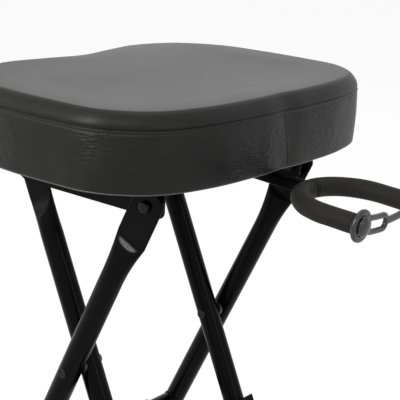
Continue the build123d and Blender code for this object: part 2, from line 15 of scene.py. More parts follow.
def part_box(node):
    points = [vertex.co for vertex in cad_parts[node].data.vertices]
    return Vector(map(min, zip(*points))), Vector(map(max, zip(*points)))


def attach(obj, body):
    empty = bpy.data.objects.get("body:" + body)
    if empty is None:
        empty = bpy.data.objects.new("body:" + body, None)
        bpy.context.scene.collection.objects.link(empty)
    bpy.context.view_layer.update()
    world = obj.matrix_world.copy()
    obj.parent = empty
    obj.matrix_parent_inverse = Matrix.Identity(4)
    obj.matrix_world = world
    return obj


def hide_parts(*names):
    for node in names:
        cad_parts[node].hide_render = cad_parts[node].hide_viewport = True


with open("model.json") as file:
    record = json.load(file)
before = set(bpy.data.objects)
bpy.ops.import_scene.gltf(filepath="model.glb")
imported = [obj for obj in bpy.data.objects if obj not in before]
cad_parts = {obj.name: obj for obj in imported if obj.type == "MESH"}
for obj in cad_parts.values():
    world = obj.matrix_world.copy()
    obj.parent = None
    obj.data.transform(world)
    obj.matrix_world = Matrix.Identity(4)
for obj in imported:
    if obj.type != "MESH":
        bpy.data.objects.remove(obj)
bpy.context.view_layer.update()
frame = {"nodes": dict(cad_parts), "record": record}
nodes = frame["nodes"]
scene = bpy.context.scene
MM = 0.001

# %% [markdown]
# The camera stands behind the stool's left rear corner, a little above the seat. Its heading, tilt, roll and
# lens were fitted to the edges of the legs and of the seat. Fitting them once means that every piece can be
# compared with the photograph in place, instead of being nudged until it looks right.

# %% Camera
EYE_FROM_PIVOT = Vector((0.8044, -0.9647, 0.5333))
HEADING = np.radians(-37.71)
TILT = np.radians(16.36)
ROLL = np.radians(3.16)
LENS_MM = 105.9
SENSOR_MM = 36.0
CLIP_END = 50.0


def make_camera():
    """A camera whose axes are the heading turned about Z, lowered by the tilt and then rolled."""
    ahead = Vector((np.sin(HEADING) * np.cos(TILT), np.cos(HEADING) * np.cos(TILT), -np.sin(TILT)))
    right = Vector((np.cos(HEADING), -np.sin(HEADING), 0))
    up = right.cross(ahead)
    right_rolled = right * np.cos(ROLL) + up * np.sin(ROLL)
    up_rolled = up * np.cos(ROLL) - right * np.sin(ROLL)
    data = bpy.data.cameras.new("camera")
    data.lens = LENS_MM
    data.sensor_width = SENSOR_MM
    data.clip_end = CLIP_END
    camera = bpy.data.objects.new("camera", data)
    scene.collection.objects.link(camera)
    rivet_low, rivet_high = (Vector(corner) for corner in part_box("pivot_rivets"))
    eye = (rivet_low + rivet_high) / 2 + EYE_FROM_PIVOT
    axes = Matrix((right_rolled, up_rolled, -ahead)).transposed().to_4x4()
    camera.matrix_world = Matrix.Translation(eye) @ axes
    scene.camera = camera
    print("camera at", tuple(eye))


make_camera()

# %% [markdown]
# Every finish below, and the white behind the stool, is a small graph of nodes. Helpers keep them short: one
# feeds a socket with a number, a colour or another node's output, one makes a node with its inputs named,
# and one does sums. Written this way, a line of code says the same as a box with its wires in the editor.

# %% Node helpers
def node_tree(owner):
    owner.use_nodes = True
    tree = owner.node_tree
    tree.nodes.clear()
    return tree


def feed(tree, socket, value):
    """Links the socket to another node's output, or sets it to a plain number or colour."""
    if isinstance(value, bpy.types.NodeSocket):
        tree.links.new(value, socket)
    else:
        socket.default_value = value


def feed_inputs(tree, node, **values):
    """Feeds inputs by name, where an underscore stands for a space."""
    for label, value in values.items():
        feed(tree, node.inputs[label.replace("_", " ")], value)
    return node


def new_node(tree, kind, **values):
    return feed_inputs(tree, tree.nodes.new("ShaderNode" + kind), **values)


def math_node(tree, operation, first, second):
    node = new_node(tree, "Math")
    node.operation = operation
    feed(tree, node.inputs[0], first)
    feed(tree, node.inputs[1], second)
    return node.outputs[0]


# %% [markdown]
# A studio for a black object. Gloss black shows hardly anything but the shapes of its lights, so the lamps
# are soft boxes and strips, each placed for one highlight. The white that the camera sees comes from Light
# Path, not from stronger lamps, so the blacks stay black.

# %% World
WORLD_STRENGTH = 0.28
WHITE = (1, 1, 1, 1)


def seen_directly(tree):
    """One for rays by which the camera, gloss and glass see a thing, nought for the light that it gives."""
    ray = new_node(tree, "LightPath").outputs
    mirrored = math_node(tree, "MAXIMUM", ray["Is Glossy Ray"], ray["Is Transmission Ray"])
    return math_node(tree, "MAXIMUM", ray["Is Camera Ray"], mirrored)


def make_world():
    """White for what the camera, gloss and glass see, and an even grey light for everything else."""
    world = bpy.data.worlds.new("studio")
    tree = node_tree(world)
    strength = new_node(tree, "MapRange", Value=seen_directly(tree), To_Min=WORLD_STRENGTH, To_Max=1.0)
    back = new_node(tree, "Background", Color=WHITE, Strength=strength.outputs["Result"])
    new_node(tree, "OutputWorld", Surface=back.outputs["Background"])
    scene.world = world


scene.view_settings.view_transform = "Standard"
make_world()
print("world light", WORLD_STRENGTH)

# %% [markdown]
# All lamps aim at one point, a little under the seat. The numbers of each row are its place, its width and
# height in metres, and its power in watts.

# %% Lamps
LAMP_AIM = Vector((0, 0, 0.45))
LAMPS = (("key_softbox", (-0.35, -1.75, 1.93), 0.60, 0.60, 16),
         ("low_softbox", (-0.50, -1.75, 1.29), 0.24, 0.24, 13),
         ("rim_softbox", (1.05, -1.30, 1.80), 0.35, 0.35, 5),
         ("sheen_softbox", (-2.1, 2.5, 1.45), 1.50, 1.00, 3),
         ("right_strip", (2.0, -0.1, 1.1), 0.16, 1.30, 4),
         ("left_strip", (-1.9, -1.1, 0.9), 0.16, 1.30, 2),
         ("top_softbox", (0.0, 0.3, 2.8), 1.60, 1.60, 10))


def make_lamp(name, place, width, height, power):
    data = bpy.data.lights.new(name, "AREA")
    data.shape = "RECTANGLE"
    data.energy = power
    data.size = width
    data.size_y = height
    lamp = bpy.data.objects.new(name, data)
    lamp.location = place
    lamp.rotation_euler = (LAMP_AIM - Vector(place)).to_track_quat("-Z", "Y").to_euler()
    lamp.visible_camera = False
    scene.collection.objects.link(lamp)


for lamp_values in LAMPS:
    make_lamp(*lamp_values)
print("lamps", len(LAMPS))

# %% [markdown]
# The floor has to vanish into the white behind it and still carry the shadow. So what the camera sees of it
# is mostly a level glow, and a quarter of it is lit paint, which darkens where the stool stands in the light.

# %% Floor
FLOOR_SIZE = 12.0
FLOOR_COLOR = (0.90, 0.90, 0.90, 1)
FLOOR_GLOW_SHARE = 0.75
FLOOR_GLOW = 0.885


def floor_material():
    """For rays that see the floor directly, (1 - share) of the lit paint plus a level glow."""
    material = bpy.data.materials.new("pale_floor")
    tree = node_tree(material)
    paint = new_node(tree, "BsdfDiffuse", Color=FLOOR_COLOR)
    glow = new_node(tree, "Emission", Strength=FLOOR_GLOW / FLOOR_GLOW_SHARE)
    share = math_node(tree, "MULTIPLY", seen_directly(tree), FLOOR_GLOW_SHARE)
    mix = new_node(tree, "MixShader", Fac=share)
    feed(tree, mix.inputs[1], paint.outputs["BSDF"])
    feed(tree, mix.inputs[2], glow.outputs["Emission"])
    new_node(tree, "OutputMaterial", Surface=mix.outputs["Shader"])
    return material


def make_floor():
    half = FLOOR_SIZE / 2
    mesh = bpy.data.meshes.new("floor")
    corners = [(-half, -half, 0), (half, -half, 0), (half, half, 0), (-half, half, 0)]
    mesh.from_pydata(corners, [], [(0, 1, 2, 3)])
    mesh.materials.append(floor_material())
    floor = bpy.data.objects.new("floor", mesh)
    scene.collection.objects.link(floor)


make_floor()
print("floor", FLOOR_SIZE, "m wide")

# %% [markdown]
# Two effects appear in every finish, and a third in one. Each is a node group, so that the finishes differ
# only in their numbers. "Grain" makes a height field from a cell pattern and fine noise: at a coarse scale
# it is vinyl, at a fine one foam, and at a very low strength the slight orange peel of powder paint.

# %% Grain group
FLOAT, COLOR, VECTOR = "NodeSocketFloat", "NodeSocketColor", "NodeSocketVector"
GRAIN_DETAIL = 5.0


def new_group(name, inputs, outputs):
    """An empty group with named sockets; gives the group, what it is given, and its output node."""
    group = bpy.data.node_groups.new(name, "ShaderNodeTree")
    for label, kind, default in inputs:
        socket = group.interface.new_socket(name=label, in_out="INPUT", socket_type=kind)
        if default is not None:
            socket.default_value = default
    for label, kind in outputs:
        group.interface.new_socket(name=label, in_out="OUTPUT", socket_type=kind)
    return group, group.nodes.new("NodeGroupInput").outputs, group.nodes.new("NodeGroupOutput")


def make_grain_group():
    """Height = cell share x distance to the nearest cell edge, plus noise share x fractal noise."""
    group, given, out = new_group(
        "Grain",
        [("Vector", VECTOR, None), ("Cell Scale", FLOAT, 600.0), ("Cell Share", FLOAT, 1.0),
         ("Noise Scale", FLOAT, 300.0), ("Noise Share", FLOAT, 0.5)],
        [("Height", FLOAT)])
    cells = new_node(group, "TexVoronoi", Vector=given["Vector"], Scale=given["Cell Scale"])
    cells.feature = "DISTANCE_TO_EDGE"
    noise = new_node(group, "TexNoise", Vector=given["Vector"], Scale=given["Noise Scale"],
                     Detail=GRAIN_DETAIL)
    cell_part = math_node(group, "MULTIPLY", cells.outputs["Distance"], given["Cell Share"])
    noise_part = math_node(group, "MULTIPLY", noise.outputs["Fac"], given["Noise Share"])
    feed_inputs(group, out, Height=math_node(group, "ADD", cell_part, noise_part))
    return group


GRAIN = make_grain_group()
print("shader group", GRAIN.name)

# %% [markdown]
# "Wear" keeps a finish from looking new and even. Colour and roughness drift in slow patches, as on anything
# that has been handled, and a much finer noise, cut off high, leaves specks of pale dust.

# %% Wear group
PATCH_DETAIL = 4.0
SPECK_SCALE, SPECK_DETAIL = 900.0, 2.0
SPECKS_FROM, SPECKS_FULL = 0.62, 0.78
DUST_COLOR = (0.22, 0.21, 0.19, 1)


def colour_mix(tree, share, first, second):
    """The first colour where the share is nought, the second where it is one."""
    mix = new_node(tree, "Mix")
    mix.data_type = "RGBA"
    return feed_inputs(tree, mix, Factor=share, A=first, B=second).outputs["Result"]


def make_wear_group():
    """Colour and roughness that drift between two values in slow patches, with specks of pale dust on top."""
    group, given, out = new_group(
        "Wear",
        [("Vector", VECTOR, None), ("Dark", COLOR, (0.01, 0.01, 0.01, 1)),
         ("Pale", COLOR, (0.03, 0.03, 0.03, 1)), ("Patch Scale", FLOAT, 12.0), ("Smooth", FLOAT, 0.3),
         ("Rough", FLOAT, 0.5), ("Dust", FLOAT, 0.1)],
        [("Color", COLOR), ("Roughness", FLOAT)])
    patch = new_node(group, "TexNoise", Vector=given["Vector"], Scale=given["Patch Scale"],
                     Detail=PATCH_DETAIL)
    specks = new_node(group, "TexNoise", Vector=given["Vector"], Scale=SPECK_SCALE, Detail=SPECK_DETAIL)
    dust = new_node(group, "MapRange", Value=specks.outputs["Fac"], From_Min=SPECKS_FROM,
                    From_Max=SPECKS_FULL)
    dust_share = math_node(group, "MULTIPLY", dust.outputs["Result"], given["Dust"])
    worn = colour_mix(group, patch.outputs["Fac"], given["Dark"], given["Pale"])
    rough = new_node(group, "MapRange", Value=patch.outputs["Fac"], To_Min=given["Smooth"],
                     To_Max=given["Rough"])
    feed_inputs(group, out, Color=colour_mix(group, dust_share, worn, DUST_COLOR),
                Roughness=rough.outputs["Result"])
    return group


WEAR = make_wear_group()
print("shader group", WEAR.name)

# %% [markdown]
# "Creases" is for vinyl pulled round a cushion, which gathers in short level wrinkles on its side. Drawing a
# noise out sideways is enough for that, as long as a slow mask leaves gaps and the taut top stays smooth.

# %% Creases group
WRINKLE_STRETCH = (1.0, 1.0, 4.0)
WRINKLE_DETAIL = 2.0
WRINKLE_PATCH_SCALE = 18.0
WRINKLES_FROM, WRINKLES_FULL = 0.44, 0.60
WRINKLE_FADE = 4.0 * MM


def make_creases_group():
    """Height = noise drawn out sideways into short level wrinkles, times a slow mask that leaves gaps, and
    nothing above the seam, where the top panel is pulled smooth."""
    group, given, out = new_group(
        "Creases",
        [("Vector", VECTOR, None), ("Scale", FLOAT, 130.0), ("Share", FLOAT, 1.0),
         ("Seam Level", FLOAT, 0.5)],
        [("Height", FLOAT)])
    drawn_out = new_node(group, "Mapping", Vector=given["Vector"], Scale=WRINKLE_STRETCH)
    lines = new_node(group, "TexNoise", Vector=drawn_out.outputs["Vector"], Scale=given["Scale"],
                     Detail=WRINKLE_DETAIL)
    patch = new_node(group, "TexNoise", Vector=given["Vector"], Scale=WRINKLE_PATCH_SCALE)
    mask = new_node(group, "MapRange", Value=patch.outputs["Fac"], From_Min=WRINKLES_FROM,
                    From_Max=WRINKLES_FULL)
    split = new_node(group, "SeparateXYZ", Vector=given["Vector"])
    under_seam = math_node(group, "SUBTRACT", given["Seam Level"], split.outputs["Z"])
    below = new_node(group, "MapRange", Value=under_seam, From_Max=WRINKLE_FADE)
    patches = math_node(group, "MULTIPLY", mask.outputs["Result"], below.outputs["Result"])
    wrinkles = math_node(group, "MULTIPLY", lines.outputs["Fac"], patches)
    feed_inputs(group, out, Height=math_node(group, "MULTIPLY", wrinkles, given["Share"]))
    return group


CREASES = make_creases_group()
print("shader group", CREASES.name)

# %% [markdown]
# A finish is one Principled shader fed by the groups. The bump is stated in millimetres, because grain has a
# real depth: about a tenth of a millimetre on vinyl and a fifth on foam. In each row, rough is the range of
# roughness, and cells and noise are the scale and the share of the two patterns.

# %% Finishes
SEAM_DROP = 13.0 * MM
SEAM_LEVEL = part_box("seat_cover")[1][2] - SEAM_DROP
FINISH_ROWS = {
    "cover_vinyl": dict(dark=(0.0055, 0.0055, 0.0052), pale=(0.0085, 0.0085, 0.0078), rough=(0.36, 0.45),
                        cells=(750, 1.0), noise=(260, 0.7), depth_mm=0.12, dust=0.02, patch=9.0, creases=10.0,
                        Specular_IOR_Level=0.20),
    "frame_paint": dict(dark=(0.0014, 0.0014, 0.0014), pale=(0.0030, 0.0030, 0.0030), rough=(0.17, 0.27),
                        cells=(500, 0.0), noise=(420, 1.0), depth_mm=0.015, dust=0.02,
                        Specular_IOR_Level=0.06),
    "grip_foam": dict(dark=(0.0075, 0.0068, 0.0064), pale=(0.0125, 0.0115, 0.0108), rough=(0.58, 0.74),
                      cells=(1500, 0.5), noise=(900, 1.0), depth_mm=0.20, patch=25.0,
                      Specular_IOR_Level=0.20),
    "rubber": dict(dark=(0.012, 0.012, 0.012), pale=(0.022, 0.022, 0.021), rough=(0.50, 0.70),
                   cells=(900, 0.2), noise=(700, 0.8), depth_mm=0.08, dust=0.15),
    "gloss_rubber": dict(dark=(0.020, 0.020, 0.021), pale=(0.034, 0.034, 0.035), rough=(0.22, 0.34),
                         cells=(500, 0.0), noise=(500, 1.0), depth_mm=0.04, dust=0.03,
                         Specular_IOR_Level=0.45),
    "black_plastic": dict(dark=(0.012, 0.012, 0.012), pale=(0.020, 0.020, 0.020), rough=(0.38, 0.50),
                          cells=(1200, 0.4), noise=(800, 0.6), depth_mm=0.05),
    "dark_steel": dict(dark=(0.006, 0.006, 0.006), pale=(0.014, 0.014, 0.014), rough=(0.24, 0.36),
                       cells=(500, 0.0), noise=(900, 1.0), depth_mm=0.02, Metallic=0.6,
                       Specular_IOR_Level=0.3),
    "board": dict(dark=(0.30, 0.20, 0.11), pale=(0.48, 0.34, 0.20), rough=(0.55, 0.70),
                  cells=(300, 0.1), noise=(200, 1.0), depth_mm=0.10, patch=60.0),
    "pad_foam": dict(dark=(0.55, 0.50, 0.38), pale=(0.70, 0.65, 0.50), rough=(0.80, 0.90),
                     cells=(900, 1.0), noise=(500, 0.5), depth_mm=0.40),
    "dust_cloth": dict(dark=(0.012, 0.012, 0.012), pale=(0.022, 0.022, 0.022), rough=(0.80, 0.92),
                       cells=(1400, 1.0), noise=(1100, 0.6), depth_mm=0.15, dust=0.2),
    # painted highlight: a pale grey for the light that the pad's folded lower edge catches from the floor
    "painted_edge_highlight": dict(dark=(0.050, 0.050, 0.050), pale=(0.075, 0.075, 0.074), rough=(0.32, 0.42),
                      cells=(500, 0.0), noise=(600, 1.0), depth_mm=0.02, dust=0.0),
    "thread": dict(dark=(0.010, 0.010, 0.010), pale=(0.020, 0.020, 0.020), rough=(0.45, 0.60),
                   cells=(2500, 0.6), noise=(1800, 0.6), depth_mm=0.10)}


def group_node(tree, group, place, **values):
    """A node group placed in a material, reading the given place, with its other inputs named."""
    node = tree.nodes.new("ShaderNodeGroup")
    node.node_tree = group
    return feed_inputs(tree, node, Vector=place, **values).outputs


def make_finish(name, dark, pale, rough, cells, noise, depth_mm, dust=0.05, patch=12.0, creases=0.0,
                **shader_values):
    """One material of one finish row; the values left over go to the shader's own sockets."""
    material = bpy.data.materials.new(name)
    tree = node_tree(material)
    place = new_node(tree, "TexCoord").outputs["Object"]
    wear = group_node(tree, WEAR, place, Dark=(*dark, 1), Pale=(*pale, 1), Smooth=rough[0], Rough=rough[1],
                      Dust=dust, Patch_Scale=patch)
    grain = group_node(tree, GRAIN, place, Cell_Scale=cells[0], Cell_Share=cells[1], Noise_Scale=noise[0],
                       Noise_Share=noise[1])
    height = grain["Height"]
    if creases:
        wrinkles = group_node(tree, CREASES, place, Share=creases, Seam_Level=SEAM_LEVEL)
        height = math_node(tree, "ADD", height, wrinkles["Height"])
    bump = new_node(tree, "Bump", Distance=depth_mm * MM, Height=height)
    shader = new_node(tree, "BsdfPrincipled", Base_Color=wear["Color"], Roughness=wear["Roughness"],
                      Normal=bump.outputs["Normal"], **shader_values)
    new_node(tree, "OutputMaterial", Surface=shader.outputs["BSDF"])
    return material


def wear_finish(piece, name):
    piece.data.materials.clear()
    piece.data.materials.append(FINISHES[name])


FINISHES = {name: make_finish(name, **row) for name, row in FINISH_ROWS.items()}
for part_row in frame["record"]["subparts"]:
    wear_finish(nodes[part_row["node"]], part_row["material_slot"])
print("finishes", len(FINISHES))

# %% [markdown]
# Every modelled piece is one or more grids of points, worked out with arrays: rows and columns, joined by
# quads. A grid is a ring when its last row meets its first, capped when each end is closed by one middle
# point, and topped when only its last row is. One helper turns such grids into a mesh, turns the faces
# outwards and keeps edges crisp where two faces meet at a steep angle.

# %% Grid meshes
SHARP_ANGLE = np.radians(38)


def grid_faces(points, ends):
    """Vertices and blocks of faces of points[row, column]; columns close round, and rows as ends says."""
    rows, columns = points.shape[:2]
    index = np.arange(rows * columns).reshape(rows, columns)
    low, high = (index, np.roll(index, -1, axis=0)) if ends == "ring" else (index[:-1], index[1:])
    quads = np.stack([low, np.roll(low, -1, axis=1), np.roll(high, -1, axis=1), high], -1)
    blocks = [quads.reshape(-1, 4)]
    vertices = points.reshape(-1, 3)
    closed_rows = {"capped": (0, rows - 1), "topped": (rows - 1,)}.get(ends, ())
    for row in closed_rows:
        middle = np.full(columns, len(vertices))
        vertices = np.vstack([vertices, points[row].mean(0)])
        blocks.append(np.stack([index[row], np.roll(index[row], -1), middle], -1))
    return vertices, blocks


def grid_mesh(name, grids):
    """One mesh of several (points, ends) grids, with its faces turned outwards."""
    all_vertices, all_faces, count = [], [], 0
    for points, ends in grids:
        vertices, blocks = grid_faces(np.asarray(points, float), ends)
        all_vertices.append(vertices)
        for block in blocks:
            all_faces += (block + count).tolist()
        count += len(vertices)
    mesh = bpy.data.meshes.new(name)
    mesh.from_pydata(np.vstack(all_vertices).tolist(), [], all_faces)
    shell = bmesh.new()
    shell.from_mesh(mesh)
    bmesh.ops.recalc_face_normals(shell, faces=shell.faces)
    shell.to_mesh(mesh)
    shell.free()
    mesh.shade_smooth()
    mesh.set_sharp_from_angle(angle=SHARP_ANGLE)
    return mesh


def make_piece(name, grids, body, slot, replaced=(), finish=None):
    """A finished piece: its mesh, its finish, the body it rides on and the nodes it stands for."""
    piece = bpy.data.objects.new(name, grid_mesh(name, grids))
    scene.collection.objects.link(piece)
    wear_finish(piece, finish or slot)
    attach(piece, body)
    if replaced:
        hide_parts(*replaced)
    print(name, len(piece.data.vertices), "points")
    return piece


# %% [markdown]
# The shapes below share a few small formulas: turns round a circle, a bell curve for every groove and dent,
# a wave made fuller for squarish sections, and circles carried along a path.

# %% Shape helpers
SIDES = (("left", -1), ("right", 1))
UP = np.array([0.0, 0.0, 1.0])


def unit(vectors):
    return vectors / np.linalg.norm(vectors, axis=-1, keepdims=True)


def full_turn(count):
    return np.linspace(0, 2 * np.pi, count, endpoint=False)


def quarter_turn(count):
    return np.linspace(0, np.pi / 2, count)


def bell(offset, width):
    """One in the middle, falling off on both sides: e to the power of -(offset / width) squared."""
    return np.exp(-(offset / width)**2)


def fuller(wave, power):
    """A sine or cosine with its size raised to a power under one, which makes a circle a superellipse."""
    return np.sign(wave) * np.abs(wave)**power


def tube_rings(path, radius, side_axis, sides, closed=False):
    """Circles round a path in a plane square to side_axis: centre + radius (side cos + normal sin)."""
    path = np.asarray(path, float)
    ahead = np.roll(path, -1, 0) - np.roll(path, 1, 0) if closed else np.gradient(path, axis=0)
    side = np.broadcast_to(side_axis, path.shape)
    normal = unit(np.cross(unit(ahead), side))
    turn = full_turn(sides)[None, :, None]
    radius = np.broadcast_to(np.asarray(radius, float), (len(path),))[:, None, None]
    return path[:, None] + radius * (np.cos(turn) * side[:, None] + np.sin(turn) * normal[:, None])


def box_of(node):
    return tuple(np.array(corner, float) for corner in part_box(node))


print("helpers ready; a node's box, for one", box_of("pivot_rivets"))

# %% [markdown]
# The legs are one-inch tubes whose upper ends were pressed flat in a die, so that a bolt can pass. Nothing is
# cut away on the real leg: the round section spreads into an oval, and two sloping faces squeeze it to a
# double wall. The surface does the same in one formula, a full oval held between two planes, and this gives
# the curved lower edge of the pressed facet for free, which stacked sections would not.

# %% Legs
rivet_low, rivet_high = box_of("pivot_rivets")
bolt_low, bolt_high = box_of("hinge_bolts")
PIVOT = (rivet_low + rivet_high) / 2
HINGE_FROM_PIVOT = (bolt_low + bolt_high) / 2 - PIVOT
HINGE_REACH = np.hypot(HINGE_FROM_PIVOT[0], HINGE_FROM_PIVOT[2])
LEAN = np.arctan2(HINGE_FROM_PIVOT[0], HINGE_FROM_PIVOT[2])
FLAT_HALF_THICKNESS = 1.6 * MM
CREASE_SOFTNESS = 0.9 * MM
PRESSED_HALF_DEPTH = 2.6 * MM
CRIMP_MARGIN = 3.0 * MM
THINNING_POWER = 1.5
FULLER_BY = 1.4
LEG_ROWS = (30, 24, 56, 14)
CORNER_ROWS = 22
LEG_COLUMNS = 120
LEG_FORMS = {
    "outer": dict(direction=1, half=19.0 * MM, offset=3.0 * MM, flat=42.5 * MM, tail=17.0 * MM,
                  corner=9.0 * MM, crimp=10.0 * MM, spread=55.0 * MM),
    "inner": dict(direction=-1, half=17.5 * MM, offset=0.0, flat=35.0 * MM, tail=16.5 * MM,
                  corner=16.0 * MM, crimp=24.0 * MM, spread=44.0 * MM)}


def soft_min(a, b, softness):
    """The smaller of two values, with the corner between them rounded over the softness."""
    blend = np.maximum(softness - np.abs(a - b), 0) / softness
    return np.minimum(a, b) - blend**2 * softness / 4


def leg_points(node, form, side):
    """Rows up the leg, columns round it: depth = half-depth cos t held between the two pressed faces, and
    width = half-width sin t. Through the spread the width grows by its square and the depth shrinks by its
    power 1.5, so the tube is already thin where the press bites and the facet slopes gently. The section
    goes from a circle to a fuller superellipse, as a squeezed tube's does."""
    low, high = box_of(node)
    radius = (high[1] - low[1]) / 2
    flat_start = HINGE_REACH - form["flat"]
    crimp_start = flat_start - form["crimp"]
    end = HINGE_REACH + form["tail"]
    foot = -(PIVOT[2] - low[2] - radius * np.sin(LEAN)) / np.cos(LEAN)
    spread_start = flat_start - form["spread"]
    stations = (foot, spread_start, crimp_start - CRIMP_MARGIN, flat_start + CRIMP_MARGIN,
                end - form["corner"])
    runs = [np.linspace(start, stop, count, endpoint=False)
            for start, stop, count in zip(stations, stations[1:], LEG_ROWS)]
    corner_run = end - form["corner"] * (1 - np.sin(quarter_turn(CORNER_ROWS)))
    along = np.concatenate([*runs, corner_run])[:, None]
    turn = full_turn(LEG_COLUMNS)[None, :]
    spread = np.clip((along - spread_start) / form["spread"], 0, 1)
    half = radius + (form["half"] - radius) * spread**2
    half_depth = radius - (radius - PRESSED_HALF_DEPTH) * spread**THINNING_POWER
    shift = -form["offset"] * spread**THINNING_POWER
    past_corner = np.clip(along - (end - form["corner"]), 0, form["corner"])
    half = half - form["corner"] + np.sqrt(form["corner"]**2 - past_corner**2)
    pressed = np.clip((along - crimp_start) / form["crimp"], 0, 1)
    middle = -form["offset"]
    clear = half_depth + CREASE_SOFTNESS
    outer_face = (shift + clear) * (1 - pressed) + (middle + FLAT_HALF_THICKNESS) * pressed
    inner_face = (shift - clear) * (1 - pressed) + (middle - FLAT_HALF_THICKNESS) * pressed
    fullness = 2 / (2 + FULLER_BY * spread**2)
    depth = soft_min(shift + half_depth * fuller(np.cos(turn), fullness), outer_face, CREASE_SOFTNESS)
    depth = -soft_min(-depth, -inner_face, CREASE_SOFTNESS)
    width = half * fuller(np.sin(turn), fullness)
    direction = form["direction"]
    x = PIVOT[0] + direction * along * np.sin(LEAN) + width * np.cos(LEAN)
    z = PIVOT[2] + along * np.cos(LEAN) - direction * width * np.sin(LEAN)
    return np.stack([x, (low[1] + high[1]) / 2 + side * depth, z], -1)


for form_name, form in LEG_FORMS.items():
    for side_name, side in SIDES:
        leg_node = f"{form_name}_leg_{side_name}"
        make_piece(f"{leg_node}_pressed", [(leg_points(leg_node, form, side), "capped")],
                   f"{form_name}_frame", "frame_paint", [leg_node])

# %% [markdown]
# Where a cross bar meets a leg, the welder leaves a small bead all round. Its path is the curve in which the
# two cylinders meet, which has a plain formula, so the bead follows the joint exactly and costs few faces.

# %% Weld beads
BEAD_RADIUS = 1.5 * MM
BEAD_RIPPLE = 0.22 * MM
RIPPLES = 26
BEAD_ROWS, BEAD_COLUMNS = 104, 10


def weld_rings(bar_node, leg_node, side, direction):
    """A bead on the curve where bar and leg meet: y = leg axis - sqrt(leg radius^2 - offset^2)."""
    bar_low, bar_high = box_of(bar_node)
    leg_low, leg_high = box_of(leg_node)
    bar_middle = (bar_low + bar_high) / 2
    bar_radius = (bar_high[2] - bar_low[2]) / 2
    leg_radius = (leg_high[1] - leg_low[1]) / 2
    turn = full_turn(BEAD_ROWS)
    along, across = bar_radius * np.cos(turn), bar_radius * np.sin(turn)
    reach = np.sqrt(leg_radius**2 - across**2)
    path = np.stack([bar_middle[0] + direction * along * np.sin(LEAN) + across * np.cos(LEAN),
                     (leg_low[1] + leg_high[1]) / 2 - side * reach,
                     bar_middle[2] + along * np.cos(LEAN) - direction * across * np.sin(LEAN)], -1)
    ripple = BEAD_RADIUS + BEAD_RIPPLE * np.cos(RIPPLES * turn)
    outward = unit((path - bar_middle) * (1, 0, 1))
    sweep = full_turn(BEAD_COLUMNS)[None, :, None]
    return path[:, None] + ripple[:, None, None] * (np.cos(sweep) * outward[:, None]
                                                    + np.sin(sweep) * np.array([0.0, 1.0, 0.0]))


for bead_name, bar_node, form_name in (("footrest_welds", "footrest_bar", "outer"),
                                       ("cross_bar_welds", "inner_cross_bar", "inner")):
    direction = LEG_FORMS[form_name]["direction"]
    beads = [(weld_rings(bar_node, f"{form_name}_leg_{side_name}", side, direction), "ring")
             for side_name, side in SIDES]
    make_piece(bead_name, beads, f"{form_name}_frame", "frame_paint")

# %% [markdown]
# The pad is a wrapped cushion: a board below, foam, and a cover sewn from a top panel and a side band. Its
# outline is a smooth closed curve, wider than it is deep, with a dip at the front for the thighs. Columns
# stand closer together at the rear, where the band's two ends are sewn together and a narrow groove has to
# be drawn.

# %% Pad outline
pad_low, pad_high = box_of("seat_cover")
PAD_HALF = (pad_high - pad_low)[:2] / 2
PAD_MIDDLE = (pad_high + pad_low)[:2] / 2
OUTLINE_SHARES = np.array([(0.99, 0.0), (1.0, 0.18), (0.97, 0.52), (0.85, 0.80), (0.57, 0.97), (0.20, 1.0),
                           (-0.18, 0.995), (-0.56, 0.95), (-0.87, 0.775), (-1.0, 0.49), (-0.955, 0.22),
                           (-0.91, 0.0)])
CURVE_STEPS = 80
COLUMNS = 440
JOIN_PLACE = 2.0 * MM
JOIN_CROWD, JOIN_CROWD_WIDTH = 9.0, 14.0 * MM


def closed_curve(points):
    """A smooth closed curve: cubics between the points, with slopes of half the step past each point."""
    after = np.roll(points, -1, axis=0)
    slope = (after - np.roll(points, 1, axis=0)) / 2
    t = np.linspace(0, 1, CURVE_STEPS, endpoint=False)[None, :, None]
    return ((2 * t**3 - 3 * t**2 + 1) * points[:, None] + (t**3 - 2 * t**2 + t) * slope[:, None]
            + (3 * t**2 - 2 * t**3) * after[:, None]
            + (t**3 - t**2) * np.roll(slope, -1, axis=0)[:, None]).reshape(-1, 2)


def pad_outline(count, crowded=True):
    """The seat's plan at count places, and how far round each lies; the steps shrink near the rear join."""
    curve = closed_curve(np.vstack([OUTLINE_SHARES, OUTLINE_SHARES[-2:0:-1] * (1, -1)]))
    curve = PAD_MIDDLE + curve / np.abs(curve).max(0) * PAD_HALF
    closed = np.vstack([curve, curve[:1]])
    run = np.concatenate([[0], np.cumsum(np.linalg.norm(np.diff(closed, axis=0), axis=1))])
    from_join = np.minimum(np.abs(run - JOIN_PLACE), np.abs(run - run[-1] - JOIN_PLACE))
    density = 1 + JOIN_CROWD * bell(from_join, JOIN_CROWD_WIDTH) * crowded
    filled = np.concatenate([[0], np.cumsum((density[1:] + density[:-1]) / 2 * np.diff(run))])
    at = np.interp(np.linspace(0, filled[-1], count, endpoint=False), filled, run)
    return np.stack([np.interp(at, run, closed[:, 0]), np.interp(at, run, closed[:, 1])], -1), at / run[-1]


def inward_normals(outline):
    """Level directions square to a closed outline: its step ahead turned a quarter to the left."""
    ahead = unit(np.roll(outline, -1, axis=0) - np.roll(outline, 1, axis=0))
    return ahead @ np.array([[0.0, 1.0], [-1.0, 0.0]])


outline, round_share = pad_outline(COLUMNS)
print("pad outline", len(outline), "columns, half sizes", tuple(PAD_HALF))

# %% [markdown]
# The pad's side is a short profile: the cloth turned under the board, the band, the seam with its raised lip
# and line of stitches, and the rolled edge of the top panel. Its rows stand closest together at the seam,
# where the relief is about a millimetre wide.

